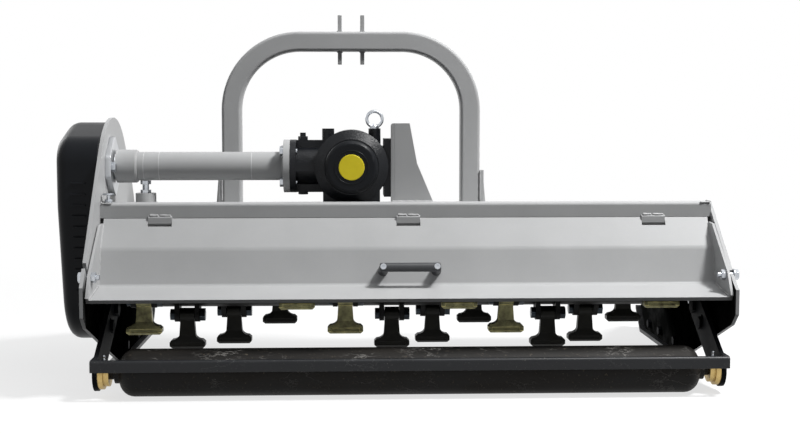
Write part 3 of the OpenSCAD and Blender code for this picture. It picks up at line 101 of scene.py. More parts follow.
@dataclass
class WorkFrame:
    """The drawing's own frame.

    Its x runs from the middle of the working width, y from the rotor axis and z from the ground.

    Attributes:
        shift: Place of the drawing's origin in the row frame, in metres.
    """

    shift: Vector = field(default_factory=Vector)

    def __post_init__(self) -> None:
        """Reads the shift from the deck and the rotor tube."""
        deck_low, deck_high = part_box("top_deck")
        tube_low, tube_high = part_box("rotor_tube")
        self.shift = Vector(((deck_low.x + deck_high.x) / 2, (tube_low.y + tube_high.y) / 2, 0))

    def at(self, x: float, y: float, z: float) -> Vector:
        """Gives a point of the drawing in the row frame.

        Args:
            x: Distance to the right of the middle, in millimetres.
            y: Distance in front of the rotor axis, in millimetres.
            z: Height above the ground, in millimetres.

        Returns:
            The point in metres.
        """
        return self.shift + Vector((x, y, z)) * MM


@dataclass(frozen=True)
class Pattern:
    """A noise pattern on a surface.

    Attributes:
        scale: Number of lumps in a metre.
        detail: Octaves of the noise.
        rough: Weight of the finer octaves.
        fade: Noise values between which the pattern fades in.
        result: Strength of the pattern at those two values.
        stretch: Factor on each axis; a small one draws the pattern out along it.
    """

    scale: float
    detail: float
    rough: float
    fade: Span = (0.3, 0.7)
    result: Span = (0.0, 1.0)
    stretch: Point = (1.0, 1.0, 1.0)


CLOUDS = Pattern(9.0, 5.0, 0.6)
GRAIN = Pattern(700.0, 3.0, 0.5, fade=(0.35, 0.75), result=(0.0, 0.18))
# Lighter rounded edges, partly rubbed wear and partly painted highlight.
WORN_AND_HIGHLIT = Pattern(90.0, 4.0, 0.65, fade=(0.62, 0.72), result=(0.0, 0.9))
SPECKS = Pattern(160.0, 2.0, 0.7, fade=(0.78, 0.83), result=(0.0, 0.85))
SPECK_AREAS = Pattern(14.0, 3.0, 0.6, fade=(0.4, 0.62))
SCUFFS = Pattern(26.0, 5.0, 0.62, fade=(0.485, 0.515), stretch=(0.5, 1.0, 1.0))
SCUFF_AREAS = Pattern(9.0, 3.0, 0.6, fade=(0.48, 0.66))
# Patches of the painted shade inside the cutting chamber.
SHADE_PATCHES = Pattern(18.0, 5.0, 0.65, fade=(0.25, 0.55), result=(0.9, 1.0))
FLOOR_CLOUDS = Pattern(0.4, 2.0, 0.55)
GLOSS_FADE = (0.25, 0.75)  # Values of the clouds that give the lowest and highest roughness.
GRAIN_SHADE = 0.7  # Share of the main colour that is left in the grain's hollows.
SHARE_STEP = 0.3  # Fall of a pattern's fade when its share grows from 0 to 1.
SHADE_EDGE = 0.06  # Height in metres over which the chamber's painted shade fades out.


class NodeTree:
    """Short calls for the shader nodes that the finishes and the studio share."""

    def __init__(self, owner: bpy.types.ID) -> None:
        """Starts an empty tree.

        Args:
            owner: Material or world that the nodes belong to.
        """
        self.owner = owner
        owner.use_nodes = True
        self.tree = owner.node_tree
        self.tree.nodes.clear()
        self.places = self.add("ShaderNodeTexCoord").outputs
        self.coords = self.places["Object"]

    def add(self, kind: str, **settings: object) -> bpy.types.Node:
        """Adds one node.

        Args:
            kind: Blender's name of the node type.
            **settings: Properties of the node.

        Returns:
            The new node.
        """
        node = self.tree.nodes.new(kind)
        for key, value in settings.items():
            setattr(node, key, value)
        return node

    def link(self, source: Socket, target: Socket) -> None:
        """Joins two sockets."""
        self.tree.links.new(source, target)

    def noise(self, pattern: Pattern) -> Socket:
        """Adds a noise pattern on Object coordinates.

        Args:
            pattern: The pattern.

        Returns:
            The socket of the plain noise value.
        """
        mapping = self.add("ShaderNodeMapping")
        mapping.inputs["Scale"].default_value = pattern.stretch
        self.link(self.coords, mapping.inputs["Vector"])
        noise = self.add("ShaderNodeTexNoise")
        noise.inputs["Scale"].default_value = pattern.scale
        noise.inputs["Detail"].default_value = pattern.detail
        noise.inputs["Roughness"].default_value = pattern.rough
        self.link(mapping.outputs["Vector"], noise.inputs["Vector"])
        return noise.outputs["Fac"]

    def spread(self, value: Socket, source: Span, target: Span = (0.0, 1.0)) -> Socket:
        """Maps a value from one range to another, kept within the new range.

        Args:
            value: Socket to map.
            source: Values that become the ends of the new range.
            target: Ends of the new range.

        Returns:
            The mapped value's socket.
        """
        node = self.add("ShaderNodeMapRange", clamp=True)
        ends = zip(("From Min", "From Max", "To Min", "To Max"), (*source, *target))
        for name, number in ends:
            node.inputs[name].default_value = number
        self.link(value, node.inputs["Value"])
        return node.outputs["Result"]

    def patches(self, pattern: Pattern) -> Socket:
        """Adds a noise pattern and returns the socket of its strength."""
        return self.spread(self.noise(pattern), pattern.fade, pattern.result)

    def joined(self, operation: str, first: Socket, second: Socket) -> Socket:
        """Works one value out of two.

        Args:
            operation: Name of the Math node's operation.
            first: First value.
            second: Second value.

        Returns:
            The result's socket.
        """
        node = self.add("ShaderNodeMath", operation=operation)
        self.link(first, node.inputs[0])
        self.link(second, node.inputs[1])
        return node.outputs[0]

    def times(self, first: Socket, second: Socket) -> Socket:
        """Multiplies two values and returns the product's socket."""
        return self.joined("MULTIPLY", first, second)

    def blend(self, share: Socket, first: Colour | Socket, second: Colour | Socket) -> Socket:
        """Mixes two colours.

        Args:
            share: Socket with the share of the second colour.
            first: Colour, or the socket of one.
            second: Colour, or the socket of one.

        Returns:
            The mixed colour's socket.
        """
        node = self.add("ShaderNodeMix", data_type="RGBA")
        self.link(share, node.inputs["Factor"])
        for socket, colour in ((node.inputs[6], first), (node.inputs[7], second)):
            if isinstance(colour, Socket):
                self.link(colour, socket)
            else:
                socket.default_value = (*colour, 1)
        return node.outputs[2]

    def bump(self, height: Socket, strength: float, depth: float) -> Socket:
        """Adds relief to the surface normal.

        Args:
            height: Socket of the relief's height.
            strength: Strength from 0 to 1.
            depth: Depth of the relief in metres.

        Returns:
            The normal's socket.
        """
        node = self.add("ShaderNodeBump")
        node.inputs["Strength"].default_value = strength
        node.inputs["Distance"].default_value = depth
        self.link(height, node.inputs["Height"])
        return node.outputs["Normal"]

    def attribute(self, name: str) -> Socket:
        """Reads a value stored on the mesh and returns its socket."""
        return self.add("ShaderNodeAttribute", attribute_name=name).outputs["Fac"]

    def seen(self) -> Socket:
        """Tells camera, mirror and glass rays from the rays that carry light.

        Returns:
            The socket that is 1 on those rays.
        """
        ray = self.add("ShaderNodeLightPath").outputs
        mirror = self.joined("MAXIMUM", ray["Is Camera Ray"], ray["Is Glossy Ray"])
        return self.joined("MAXIMUM", mirror, ray["Is Transmission Ray"])

    def mixed(self, share: Socket, first: Socket, second: Socket) -> Socket:
        """Mixes two shaders.

        Args:
            share: Socket with the share of the second shader.
            first: First shader.
            second: Second shader.

        Returns:
            The mixed shader's socket.
        """
        node = self.add("ShaderNodeMixShader")
        for source, target in zip((share, first, second), node.inputs):
            self.link(source, target)
        return node.outputs["Shader"]


@dataclass(frozen=True)
class Finish:
    """One surface finish, made as a node material.

    Attributes:
        name: Name of the material.
        slot: Material slot of the record that it stands for; not used.
        tone: Main colour.
        drift: Colour that the main one drifts to in broad clouds.
        cloud: Number of clouds in a metre.
        gloss: Lowest and highest roughness.
        metal: Share of metal in the surface.
        shine: Strength of the mirror part of a paint or plastic.
        grain: Number of grains in a metre.
        relief: Strength of the grain's relief.
        depth: Depth of the grain's relief in metres.
        stretch: Factors that draw the clouds out along an axis.
        edge_wear_and_highlight: Colour of the rounded edges, partly rubbed wear and partly painted
            highlight.
        wear_and_highlight: Share of the rounded edges that take that colour.
        speck: Colour of dirt specks.
        speck_share: Share of the surface under specks.
        speck_scale: Number of specks in a metre.
        scuff: Colour of thin scratches.
        scuff_share: Strength of the scratches.
        painted_shade: Colour of the painted shade on the cutting chamber's inner faces.
        shade_top: Height above the ground where that painted shade ends, in metres.
    """

    name: str
    slot: str
    tone: Colour
    drift: Colour
    cloud: float = 9.0
    gloss: Span = (0.36, 0.48)
    metal: float = 0.0
    shine: float = 0.5
    grain: float = 700.0
    relief: float = 0.08
    depth: float = 0.0004
    stretch: Point = (1.0, 1.0, 1.0)
    edge_wear_and_highlight: Colour = (0.4, 0.4, 0.4)
    wear_and_highlight: float = 0.3
    speck: Colour = (0.3, 0.27, 0.22)
    speck_share: float = 0.0
    speck_scale: float = 160.0
    scuff: Colour = (0.3, 0.29, 0.27)
    scuff_share: float = 0.0
    painted_shade: Colour = (0.03, 0.03, 0.03)
    shade_top: float = 0.0

    def material(self) -> bpy.types.Material:
        """Builds the node material, once.

        Returns:
            The material.
        """
        made = bpy.data.materials.get(self.name)
        if made is not None:
            return made
        nodes = NodeTree(bpy.data.materials.new(self.name))
        clouds = nodes.noise(replace(CLOUDS, scale=self.cloud, stretch=self.stretch))
        fine = nodes.noise(replace(GRAIN, scale=self.grain))
        shader = nodes.add("ShaderNodeBsdfPrincipled")
        nodes.link(self.colour(nodes, clouds, fine), shader.inputs["Base Color"])
        nodes.link(nodes.spread(clouds, GLOSS_FADE, self.gloss), shader.inputs["Roughness"])
        shader.inputs["Metallic"].default_value = self.metal
        shader.inputs["Specular IOR Level"].default_value = self.shine
        nodes.link(nodes.bump(fine, self.relief, self.depth), shader.inputs["Normal"])
        output = nodes.add("ShaderNodeOutputMaterial")
        nodes.link(shader.outputs["BSDF"], output.inputs["Surface"])
        return nodes.owner

    def colour(self, nodes: NodeTree, clouds: Socket, fine: Socket) -> Socket:
        """Lays clouds, grain, worn and highlit edges, specks, scratches and painted shade
        together.

        Args:
            nodes: Tree of the material.
            clouds: Socket of the broad pattern.
            fine: Socket of the grain.

        Returns:
            The colour's socket.
        """
        colour = nodes.blend(nodes.spread(clouds, CLOUDS.fade), self.tone, self.drift)
        shade = tuple(part * GRAIN_SHADE for part in self.tone)
        colour = nodes.blend(nodes.spread(fine, GRAIN.fade, GRAIN.result), colour, shade)
        # Rounded edges turn lighter: partly rubbed wear, partly painted highlight.
        low, high = WORN_AND_HIGHLIT.fade
        spots = nodes.patches(replace(WORN_AND_HIGHLIT, fade=(low - SHARE_STEP * self.wear_and_highlight, high)))
        worn_and_highlit = nodes.times(nodes.attribute("worn_and_highlit"), spots)
        colour = nodes.blend(worn_and_highlit, colour, self.edge_wear_and_highlight)
        if self.speck_share > 0:
            low, high = (edge - SHARE_STEP * self.speck_share for edge in SPECKS.fade)
            dots = nodes.patches(replace(SPECKS, scale=self.speck_scale, fade=(low, high)))
            dirt = nodes.times(dots, nodes.patches(SPECK_AREAS))
            colour = nodes.blend(dirt, colour, self.speck)
        if self.scuff_share > 0:
            low, high = SCUFFS.fade
            middle = (low + high) / 2
            lines = nodes.noise(SCUFFS)
            rise = nodes.spread(lines, (low, middle), (0.0, self.scuff_share))
            fall = nodes.spread(lines, (middle, high), (1.0, 0.0))
            scratch = nodes.times(rise, fall)
            band = nodes.times(scratch, nodes.patches(SCUFF_AREAS))
            colour = nodes.blend(band, colour, self.scuff)
        # Painted shade: a dark colour below shade_top stands in for the cutting chamber's shadow.
        if self.shade_top > 0:
            split = nodes.add("ShaderNodeSeparateXYZ")
            nodes.link(nodes.coords, split.inputs["Vector"])
            edge = (self.shade_top - SHADE_EDGE, self.shade_top)
            below = nodes.spread(split.outputs["Z"], edge, (1.0, 0.0))
            painted_shade = nodes.times(below, nodes.patches(SHADE_PATCHES))
            colour = nodes.blend(painted_shade, colour, self.painted_shade)
        return colour


@dataclass(frozen=True)
class Finishes:
    """All finishes of the mower."""

    paint: Finish = Finish(
        "satin_grey_paint", "paint", (0.385, 0.388, 0.39), (0.415, 0.418, 0.42),
        gloss=(0.36, 0.46), shine=0.12, grain=900.0, relief=0.05, edge_wear_and_highlight=(0.5, 0.5, 0.5), wear_and_highlight=0.2,
        speck=(0.27, 0.265, 0.255), speck_share=0.12, speck_scale=240.0)
    # Painted shade: dark inner faces of the side plates stand in for the chamber's shadow.
    chamber_shade: Finish = Finish(
        "painted_chamber_shade", "paint", (0.385, 0.388, 0.39), (0.415, 0.418, 0.42), gloss=(0.6, 0.8),
        shine=0.0, grain=900.0, relief=0.12, painted_shade=(0.013, 0.0135, 0.013), shade_top=0.3)
    # Thin rings round the drive tube, painted lighter than the tube.
    pale_line: Finish = Finish(
        "pale_tube_line", "paint", (0.62, 0.625, 0.63), (0.5, 0.505, 0.51), cloud=30.0, wear_and_highlight=0.0)
    weld: Finish = Finish(
        "painted_weld", "paint", (0.37, 0.372, 0.375), (0.43, 0.43, 0.43), cloud=120.0,
        gloss=(0.36, 0.5), shine=0.3, grain=500.0, relief=0.2, wear_and_highlight=0.0)
    frame_black: Finish = Finish(
        "scuffed_black_paint", "black_paint", (0.0085, 0.0095, 0.0115), (0.016, 0.017, 0.019),
        cloud=11.0, gloss=(0.3, 0.5), shine=0.3, relief=0.1, edge_wear_and_highlight=(0.11, 0.115, 0.12), wear_and_highlight=0.6,
        speck=(0.16, 0.155, 0.14), speck_share=0.42, speck_scale=210.0, scuff=(0.2, 0.2, 0.2),
        scuff_share=0.35)
    arm_black: Finish = Finish(
        "dull_black_paint", "black_paint", (0.0085, 0.0095, 0.0115), (0.016, 0.017, 0.019),
        cloud=11.0, gloss=(0.45, 0.65), shine=0.03, relief=0.1, edge_wear_and_highlight=(0.09, 0.095, 0.1), wear_and_highlight=0.5,
        speck=(0.12, 0.115, 0.1), speck_share=0.3, speck_scale=210.0)
    rotor_black: Finish = Finish(
        "rotor_black_paint", "black_paint", (0.007, 0.007, 0.0075), (0.014, 0.0135, 0.0125),
        cloud=20.0, gloss=(0.35, 0.6), shine=0.15, relief=0.15, edge_wear_and_highlight=(0.06, 0.06, 0.055), wear_and_highlight=0.5)
    drum_black: Finish = Finish(
        "dusty_drum_paint", "drum_paint", (0.007, 0.0068, 0.0066), (0.02, 0.0175, 0.015),
        cloud=16.0, gloss=(0.42, 0.7), shine=0.15, relief=0.2, stretch=(0.25, 1.0, 1.0),
        edge_wear_and_highlight=(0.06, 0.055, 0.045), wear_and_highlight=0.6, speck=(0.1, 0.085, 0.065), speck_share=0.5,
        speck_scale=130.0, scuff=(0.26, 0.25, 0.235), scuff_share=0.75)
    cast: Finish = Finish(
        "black_casting", "cast_black", (0.0042, 0.005, 0.0066), (0.0085, 0.0095, 0.0118),
        cloud=26.0, gloss=(0.26, 0.42), shine=0.2, grain=300.0, relief=0.8, depth=0.0014,
        edge_wear_and_highlight=(0.04, 0.042, 0.046), wear_and_highlight=0.35)
    cover: Finish = Finish(
        "satin_black_cover", "cover_black", (0.0055, 0.0064, 0.0082), (0.0085, 0.0097, 0.012),
        cloud=6.0, gloss=(0.27, 0.38), shine=0.12, grain=1200.0, relief=0.05,
        edge_wear_and_highlight=(0.03, 0.032, 0.036), wear_and_highlight=0.2)
    guard: Finish = Finish(
        "black_guard_plastic", "guard_plastic", (0.01, 0.01, 0.011), (0.015, 0.015, 0.016),
        gloss=(0.4, 0.52), shine=0.3, grain=1500.0, relief=0.15, edge_wear_and_highlight=(0.04, 0.04, 0.04))
    zinc: Finish = Finish(
        "bright_zinc", "zinc", (0.56, 0.575, 0.6), (0.43, 0.46, 0.5), cloud=60.0,
        gloss=(0.2, 0.36), metal=1.0, grain=1100.0, relief=0.08, edge_wear_and_highlight=(0.75, 0.75, 0.76), wear_and_highlight=0.4)
    flange: Finish = Finish(
        "zinc_flange", "zinc", (0.64, 0.65, 0.665), (0.56, 0.575, 0.595), cloud=20.0,
        gloss=(0.3, 0.42), metal=1.0, relief=0.15, edge_wear_and_highlight=(0.8, 0.8, 0.81))
    dark_zinc: Finish = Finish(
        "dark_bolt_zinc", "zinc", (0.045, 0.055, 0.066), (0.022, 0.026, 0.031), cloud=70.0,
        gloss=(0.24, 0.42), metal=0.9, grain=1000.0, relief=0.1, edge_wear_and_highlight=(0.16, 0.2, 0.23), wear_and_highlight=0.5)
    handle: Finish = Finish(
        "dark_grey_moulding", "handle_grey", (0.03, 0.032, 0.036), (0.042, 0.044, 0.048),
        cloud=30.0, grain=1600.0, relief=0.12, edge_wear_and_highlight=(0.08, 0.08, 0.085))
    disc: Finish = Finish(
        "plain_yellow_disc", "yellow_disc", (0.84, 0.7, 0.026), (0.78, 0.64, 0.024), cloud=40.0,
        gloss=(0.26, 0.36), shine=0.3, relief=0.03, edge_wear_and_highlight=(0.66, 0.6, 0.1))
    belt: Finish = Finish(
        "belt_rubber", "belt_rubber", (0.012, 0.012, 0.012), (0.022, 0.021, 0.02),
        gloss=(0.65, 0.8), relief=0.25, stretch=(3.0, 1.0, 1.0), edge_wear_and_highlight=(0.05, 0.05, 0.05))
    steel: Finish = Finish(
        "turned_steel", "bare_steel", (0.36, 0.37, 0.38), (0.28, 0.285, 0.29), cloud=25.0,
        gloss=(0.28, 0.42), metal=1.0, grain=800.0, relief=0.12, stretch=(6.0, 1.0, 1.0),
        edge_wear_and_highlight=(0.6, 0.6, 0.6), wear_and_highlight=0.5)
    brass: Finish = Finish(
        "yellow_passivated_housing", "bearing_brass", (0.56, 0.41, 0.17), (0.42, 0.3, 0.115),
        cloud=45.0, gloss=(0.28, 0.45), metal=1.0, relief=0.1, edge_wear_and_highlight=(0.72, 0.6, 0.34), wear_and_highlight=0.5)
    # The hammers' bright gold edges are partly wear and partly painted highlight.
    hammer: Finish = Finish(
        "passivated_hammer", "hammer_gold", (0.27, 0.257, 0.125), (0.07, 0.067, 0.042),
        cloud=52.0, gloss=(0.28, 0.5), metal=0.85, grain=420.0, relief=0.3, depth=0.0006,
        edge_wear_and_highlight=(0.9, 0.8, 0.33), wear_and_highlight=0.9)
    # Painted shade: a darker copy of the hammer finish for the rows in shadow under the rotor.
    hammer_shaded: Finish = Finish(
        "shaded_hammer", "hammer_gold", (0.014, 0.014, 0.0115), (0.025, 0.0245, 0.0185),
        cloud=34.0, gloss=(0.3, 0.5), shine=0.2, grain=420.0, relief=0.3, depth=0.0006,
        edge_wear_and_highlight=(0.045, 0.043, 0.03), wear_and_highlight=0.6)


LOOKS = Finishes()


@dataclass(frozen=True)
class Skin:
    """How one node of the frame is rounded and finished, in millimetres and degrees.

    Attributes:
        node: Name of the node.
        finish: Its finish.
        width: Width of the rounding of its edges.
        segments: Steps of that rounding.
        angle: Least angle of an edge that is rounded.
        fold: Width of the rounding along the folds of a sheet.
        crown: Width of the rounding along the rear edge of the top.
    """

    node: str
    finish: Finish
    width: float
    segments: int = 2
    angle: float = 32.0
    fold: float = 0.0
    crown: float = 0.0


def finished(name: str, shape: Shape, finish: Finish, crease: float = 0.0) -> Thing:
    """Turns a bmesh into an object with a finish.

    Args:
        name: Name of the new object.
        shape: Its mesh, which is used up.
        finish: Finish of its faces.
        crease: Least angle of an edge that is shaded as sharp, in degrees, or zero for none.

    Returns:
        The new object, linked to the scene.
    """
    for face in shape.faces:
        face.smooth = True
    mesh = bpy.data.meshes.new(name)
    shape.to_mesh(mesh)
    shape.free()
    if crease > 0:
        mesh.set_sharp_from_angle(angle=math.radians(crease))
    mesh.materials.append(finish.material())
    piece = in_scene(name, mesh)
    return piece


def fitting(name: str, shape: Shape, finish: Finish, body: str, crease: float = 34.0) -> None:
    """Adds a piece that the drawing doesn't have.

    Args:
        name: Name of the piece.
        shape: Its mesh, which is used up.
        finish: Its finish.
        body: Body that carries it.
        crease: Least angle of an edge that is shaded as sharp, in degrees, or zero for none.
    """
    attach(finished(name, shape, finish, crease), body)
    LOG.info("added %s", name)


@dataclass
class Softener:
    """Makes rounded copies of the frame's pieces, because no real edge is sharp.

    Its lengths are in metres and its angles in degrees.

    Attributes:
        join: Distance within which the corners of two triangles are one.
        flat: Largest angle between two triangles of one flat face.
        crease: Least angle of an edge that is shaded as sharp.
        level: Distance within which points are at one height or depth.
        fold_steps: Steps of the rounding along a fold.
        fold_angles: Least and greatest angle of a fold.
        fold_length: Least length of a fold.
        fold_strip: Least width of the faces beside a fold.
        crown_steps: Steps of the rounding along the rear edge of the top.
        body_of: Body that carries each node.
    """

    join: float = 2e-6
    flat: float = 0.6
    crease: float = 30.0
    level: float = 1e-5
    fold_steps: int = 5
    fold_angles: Span = (4.0, 100.0)
    fold_length: float = 0.3
    fold_strip: float = 0.007
    crown_steps: int = 6
    body_of: dict[str, str] = field(default_factory=dict)

    def __post_init__(self) -> None:
        """Reads which body carries each node."""
        bodies = frame["record"]["behaviour"]["bodies"]
        self.body_of = {node: body for body, nodes in bodies.items() for node in nodes}

    def copy(self, skin: Skin) -> Thing:
        """Copies a node with rounded edges and puts the copy in its place.

        Args:
            skin: The node, its rounding and its finish.

        Returns:
            The copy.
        """
        node = skin.node
        shape = bmesh.new()
        shape.from_mesh(frame["nodes"][node].data)
        bmesh.ops.remove_doubles(shape, verts=shape.verts, dist=self.join)
        bmesh.ops.dissolve_limit(shape, angle_limit=math.radians(self.flat), verts=shape.verts,
                                 edges=shape.edges)
        # Rounded edge faces get the lighter edge colour: wear and painted highlight.
        worn_and_highlit = shape.faces.layers.float.new("worn_and_highlit")
        if skin.fold > 0:
            self.round(shape, self.folds(shape), skin.fold, self.fold_steps)
        if skin.crown > 0:
            self.round(shape, self.rear_edge(shape), skin.crown, self.crown_steps, free=True)
        least = math.radians(skin.angle)
        sharp = [e for e in shape.edges if e.is_manifold and e.calc_face_angle(0.0) > least]
        for face in self.round(shape, sharp, skin.width, skin.segments):
            face[worn_and_highlit] = 1.0
        piece = finished(node + "_skin", shape, skin.finish, self.crease)
        even = piece.modifiers.new("even_faces", "WEIGHTED_NORMAL")
        even.keep_sharp = True
        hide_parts(node)
        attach(piece, self.body_of[node])
        LOG.info("rounded %s", node)
        return piece

    @staticmethod
    def round(shape: Shape, edges: Edges, width: float, segments: int,
              free: bool = False) -> list[bmesh.types.BMFace]:
        """Rounds edges of a shape.

        Args:
            shape: Bmesh of the edges.
            edges: Edges to round.
            width: Width of the rounding in millimetres.
            segments: Steps of the rounding.
            free: True to keep the width where other edges come close.

        Returns:
            The new faces.
        """
        made = bmesh.ops.bevel(shape, geom=edges, offset=width * MM, offset_type="OFFSET",
                               affect="EDGES", segments=segments, profile=0.5, material=-1,
                               clamp_overlap=not free)
        return made["faces"]

    def folds(self, shape: Shape) -> Edges:
        """Finds the long folds of a sheet, not the rims of its thickness.

        Args:
            shape: Bmesh of the sheet.

        Returns:
            The edges of the folds.
        """
        least, greatest = self.fold_angles
        chosen = []
        for edge in shape.edges:
            length = edge.calc_length()
            if not edge.is_manifold or length < self.fold_length:
                continue
            bent = least < math.degrees(edge.calc_face_angle(0.0)) < greatest
            if bent and all(f.calc_area() / length > self.fold_strip for f in edge.link_faces):
                chosen.append(edge)
        return chosen

    def rear_edge(self, shape: Shape) -> Edges:
        """Finds the rear edge of a shape's top.

        Args:
            shape: Bmesh of the shape.

        Returns:
            The edges along it.
        """
        top = max(v.co.z for v in shape.verts) - self.level
        rear = min(v.co.y for v in shape.verts if v.co.z > top) + self.level
        return [e for e in shape.edges if all(v.co.y < rear and v.co.z > top for v in e.verts)]


class Turner:
    """Makes round and hexagonal pieces, with sizes in millimetres and places in metres."""

    @staticmethod
    def spin(shape: Shape, outline: Outline, place: Vector, axis: Axis, steps: int = 32) -> None:
        """Spins an outline round an axis and adds it to a bmesh.

        Args:
            shape: Bmesh that receives the round shape.
            outline: Radius and distance along the axis of each point.
            place: Point of the axis where the distance is zero.
            axis: Direction of the axis.
            steps: Number of faces round the axis.
        """
        own = bmesh.new()
        points = [own.verts.new(Vector((r, 0, h)) * MM) for r, h in outline]
        edges = [own.edges.new(pair) for pair in zip(points, points[1:])]
        bmesh.ops.spin(own, geom=points + edges, cent=(0, 0, 0), axis=UP, angle=math.tau,
                       steps=steps, use_merge=True)
        bmesh.ops.remove_doubles(own, verts=own.verts, dist=SAME)
        bmesh.ops.recalc_face_normals(own, faces=own.faces)
        Turner.add(shape, own, place, axis)

    @staticmethod
    def hexagon(shape: Shape, across: float, height: float, place: Vector, axis: Axis,
                chamfer: float = 0.05) -> None:
        """Adds a hexagon with rounded edges that stands on a point.

        Args:
            shape: Bmesh that receives the hexagon.
            across: Distance across its flats.
            height: Its height.
            place: Middle of its foot.
            axis: Direction of its height.
            chamfer: Width of the rounding as a share of the distance across the flats.
        """
        own = bmesh.new()
        radius = across / math.sqrt(3) * MM
        lift = Matrix.Translation((0, 0, height / 2 * MM))
        bmesh.ops.create_cone(own, cap_ends=True, segments=6, radius1=radius, radius2=radius,
                              depth=height * MM, matrix=lift)
        Softener.round(own, own.edges[:], chamfer * across, 2)
        Turner.add(shape, own, place, axis)

    @staticmethod
    def add(shape: Shape, own: Shape, place: Vector, axis: Axis) -> None:
        """Puts one bmesh at its place in another.

        Args:
            shape: Bmesh that grows.
            own: Bmesh that is added and used up.
            place: Point that its origin goes to.
            axis: Direction that its Z axis goes to.
        """
        mesh = bpy.data.meshes.new("added")
        bmesh.ops.transform(own, matrix=Matrix.Translation(place) @ axis.turn(), verts=own.verts)
        own.to_mesh(mesh)
        own.free()
        shape.from_mesh(mesh)
        bpy.data.meshes.remove(mesh)


@dataclass(frozen=True)
class Bead:
    """A straight weld bead, in millimetres of the drawing.

    Attributes:
        start: First end.
        end: Other end.
        radius: Radius of the bead.
    """

    start: Point
    end: Point
    radius: float

    def placed(self, x: float, side: int = 1) -> "Bead":
        """Gives the same bead at another place.

        Args:
            x: Distance that the bead moves to the right.
            side: -1 to mirror the bead before it moves, or 1.

        Returns:
            The bead at that place.
        """
        start, end = ((x + side * point[0], *point[1:]) for point in (self.start, self.end))
        return Bead(start, end, self.radius)


@dataclass(frozen=True)
class RingBead:
    """A weld bead round a tube, in millimetres of the drawing.

    Attributes:
        place: Centre of the ring.
        axis: Axis of the tube.
        round_r: Radius of the ring.
        radius: Radius of the bead.
    """

    place: Point
    axis: Axis
    round_r: float
    radius: float


@dataclass
class Welds:
    """Weld beads between the painted plates.

    Attributes:
        work: The drawing's frame.
        pitch: Distance between two ripples in millimetres.
        dip: Share of the radius between two ripples.
        tip: Share of the radius at the ends of a bead.
        swell: Share by which a bead grows and shrinks along its run.
        beat: Turn of that swelling at each step, in radians.
        faces: Number of faces round a bead.
        ring_steps: Number of faces along a ring.
        shape: Bmesh of the beads.
    """

    work: WorkFrame
    pitch: float = 3.6
    dip: float = 0.86
    tip: float = 0.6
    swell: float = 0.14
    beat: float = 0.55
    faces: int = 8
    ring_steps: int = 64
    shape: Shape = field(default_factory=bmesh.new)

    def lay(self, bead: Bead) -> None:
        """Lays a straight bead.

        Args:
            bead: The bead.
        """
        centre = self.work.at(*bead.start)
        run = self.work.at(*bead.end) - centre
        count = max(3, round(run.length / MM / self.pitch) * 2)
        ring = bmesh.ops.create_circle(
            self.shape, cap_ends=True, segments=self.faces, radius=bead.radius * self.tip * MM,
            matrix=Matrix.Translation(centre) @ turn_to(run))
        loop = ring["verts"]
        for step in range(1, count + 1):
            near = (e for v in loop for e in v.link_edges)
            edges = list(dict.fromkeys(e for e in near if all(v in loop for v in e.verts)))
            made = bmesh.ops.extrude_edge_only(self.shape, edges=edges)["geom"]
            loop = [item for item in made if isinstance(item, bmesh.types.BMVert)]
            now = (loop[0].co - centre).length
            centre = centre + run / count
            bmesh.ops.translate(self.shape, vec=run / count, verts=loop)
            size = bead.radius * self.ripple(step, count, bead.start[0]) * MM
            bmesh.ops.scale(self.shape, vec=(size / now,) * 3, verts=loop,
                            space=Matrix.Translation(-centre))
        bmesh.ops.contextual_create(self.shape, geom=loop)

    def ripple(self, step: int, count: int, phase: float) -> float:
        """Gives the share of the radius at one step of a bead.

        Args:
            step: Number of the step.
            count: Number of steps in the bead.
            phase: Start of the swelling, in radians.

        Returns:
            The share.
        """
        if step == count:
            return self.tip
        crest = 1.0 if step % 2 else self.dip
        return crest * (1 + self.swell * math.sin(step * self.beat + phase))

    def ring(self, bead: RingBead) -> None:
        """Lays a bead round a tube.

        Args:
            bead: The bead.
        """
        angles = [math.tau * i / self.faces for i in range(self.faces + 1)]
        outline = tuple((bead.round_r + bead.radius * math.cos(a), bead.radius * math.sin(a))
                        for a in angles)
        Turner.spin(self.shape, outline, self.work.at(*bead.place), bead.axis, self.ring_steps)

    def finish(self, finish: Finish, body: str, name: str) -> None:
        """Closes the beads into one piece and starts another.

        Args:
            finish: Finish of the beads.
            body: Body that carries them.
            name: Name of the piece.
        """
        bmesh.ops.recalc_face_normals(self.shape, faces=self.shape.faces)
        fitting(name, self.shape, finish, body, crease=0.0)
        self.shape = bmesh.new()


@dataclass
class Assembly:
    """A sub-assembly of the mower. Its sizes are millimetres of the drawing.

    Attributes:
        work: The drawing's frame.
        soft: Maker of the rounded copies.
        skins: How its nodes are rounded and finished.
    """

    work: WorkFrame
    soft: Softener
    skins: tuple[Skin, ...] = ()

    def dress(self) -> dict[str, Thing]:
        """Rounds and finishes the nodes and returns the copies by the nodes' names."""
        return {skin.node: self.soft.copy(skin) for skin in self.skins}

    def build(self) -> None:
        """Makes a sub-assembly that has no more than its nodes."""
        self.dress()


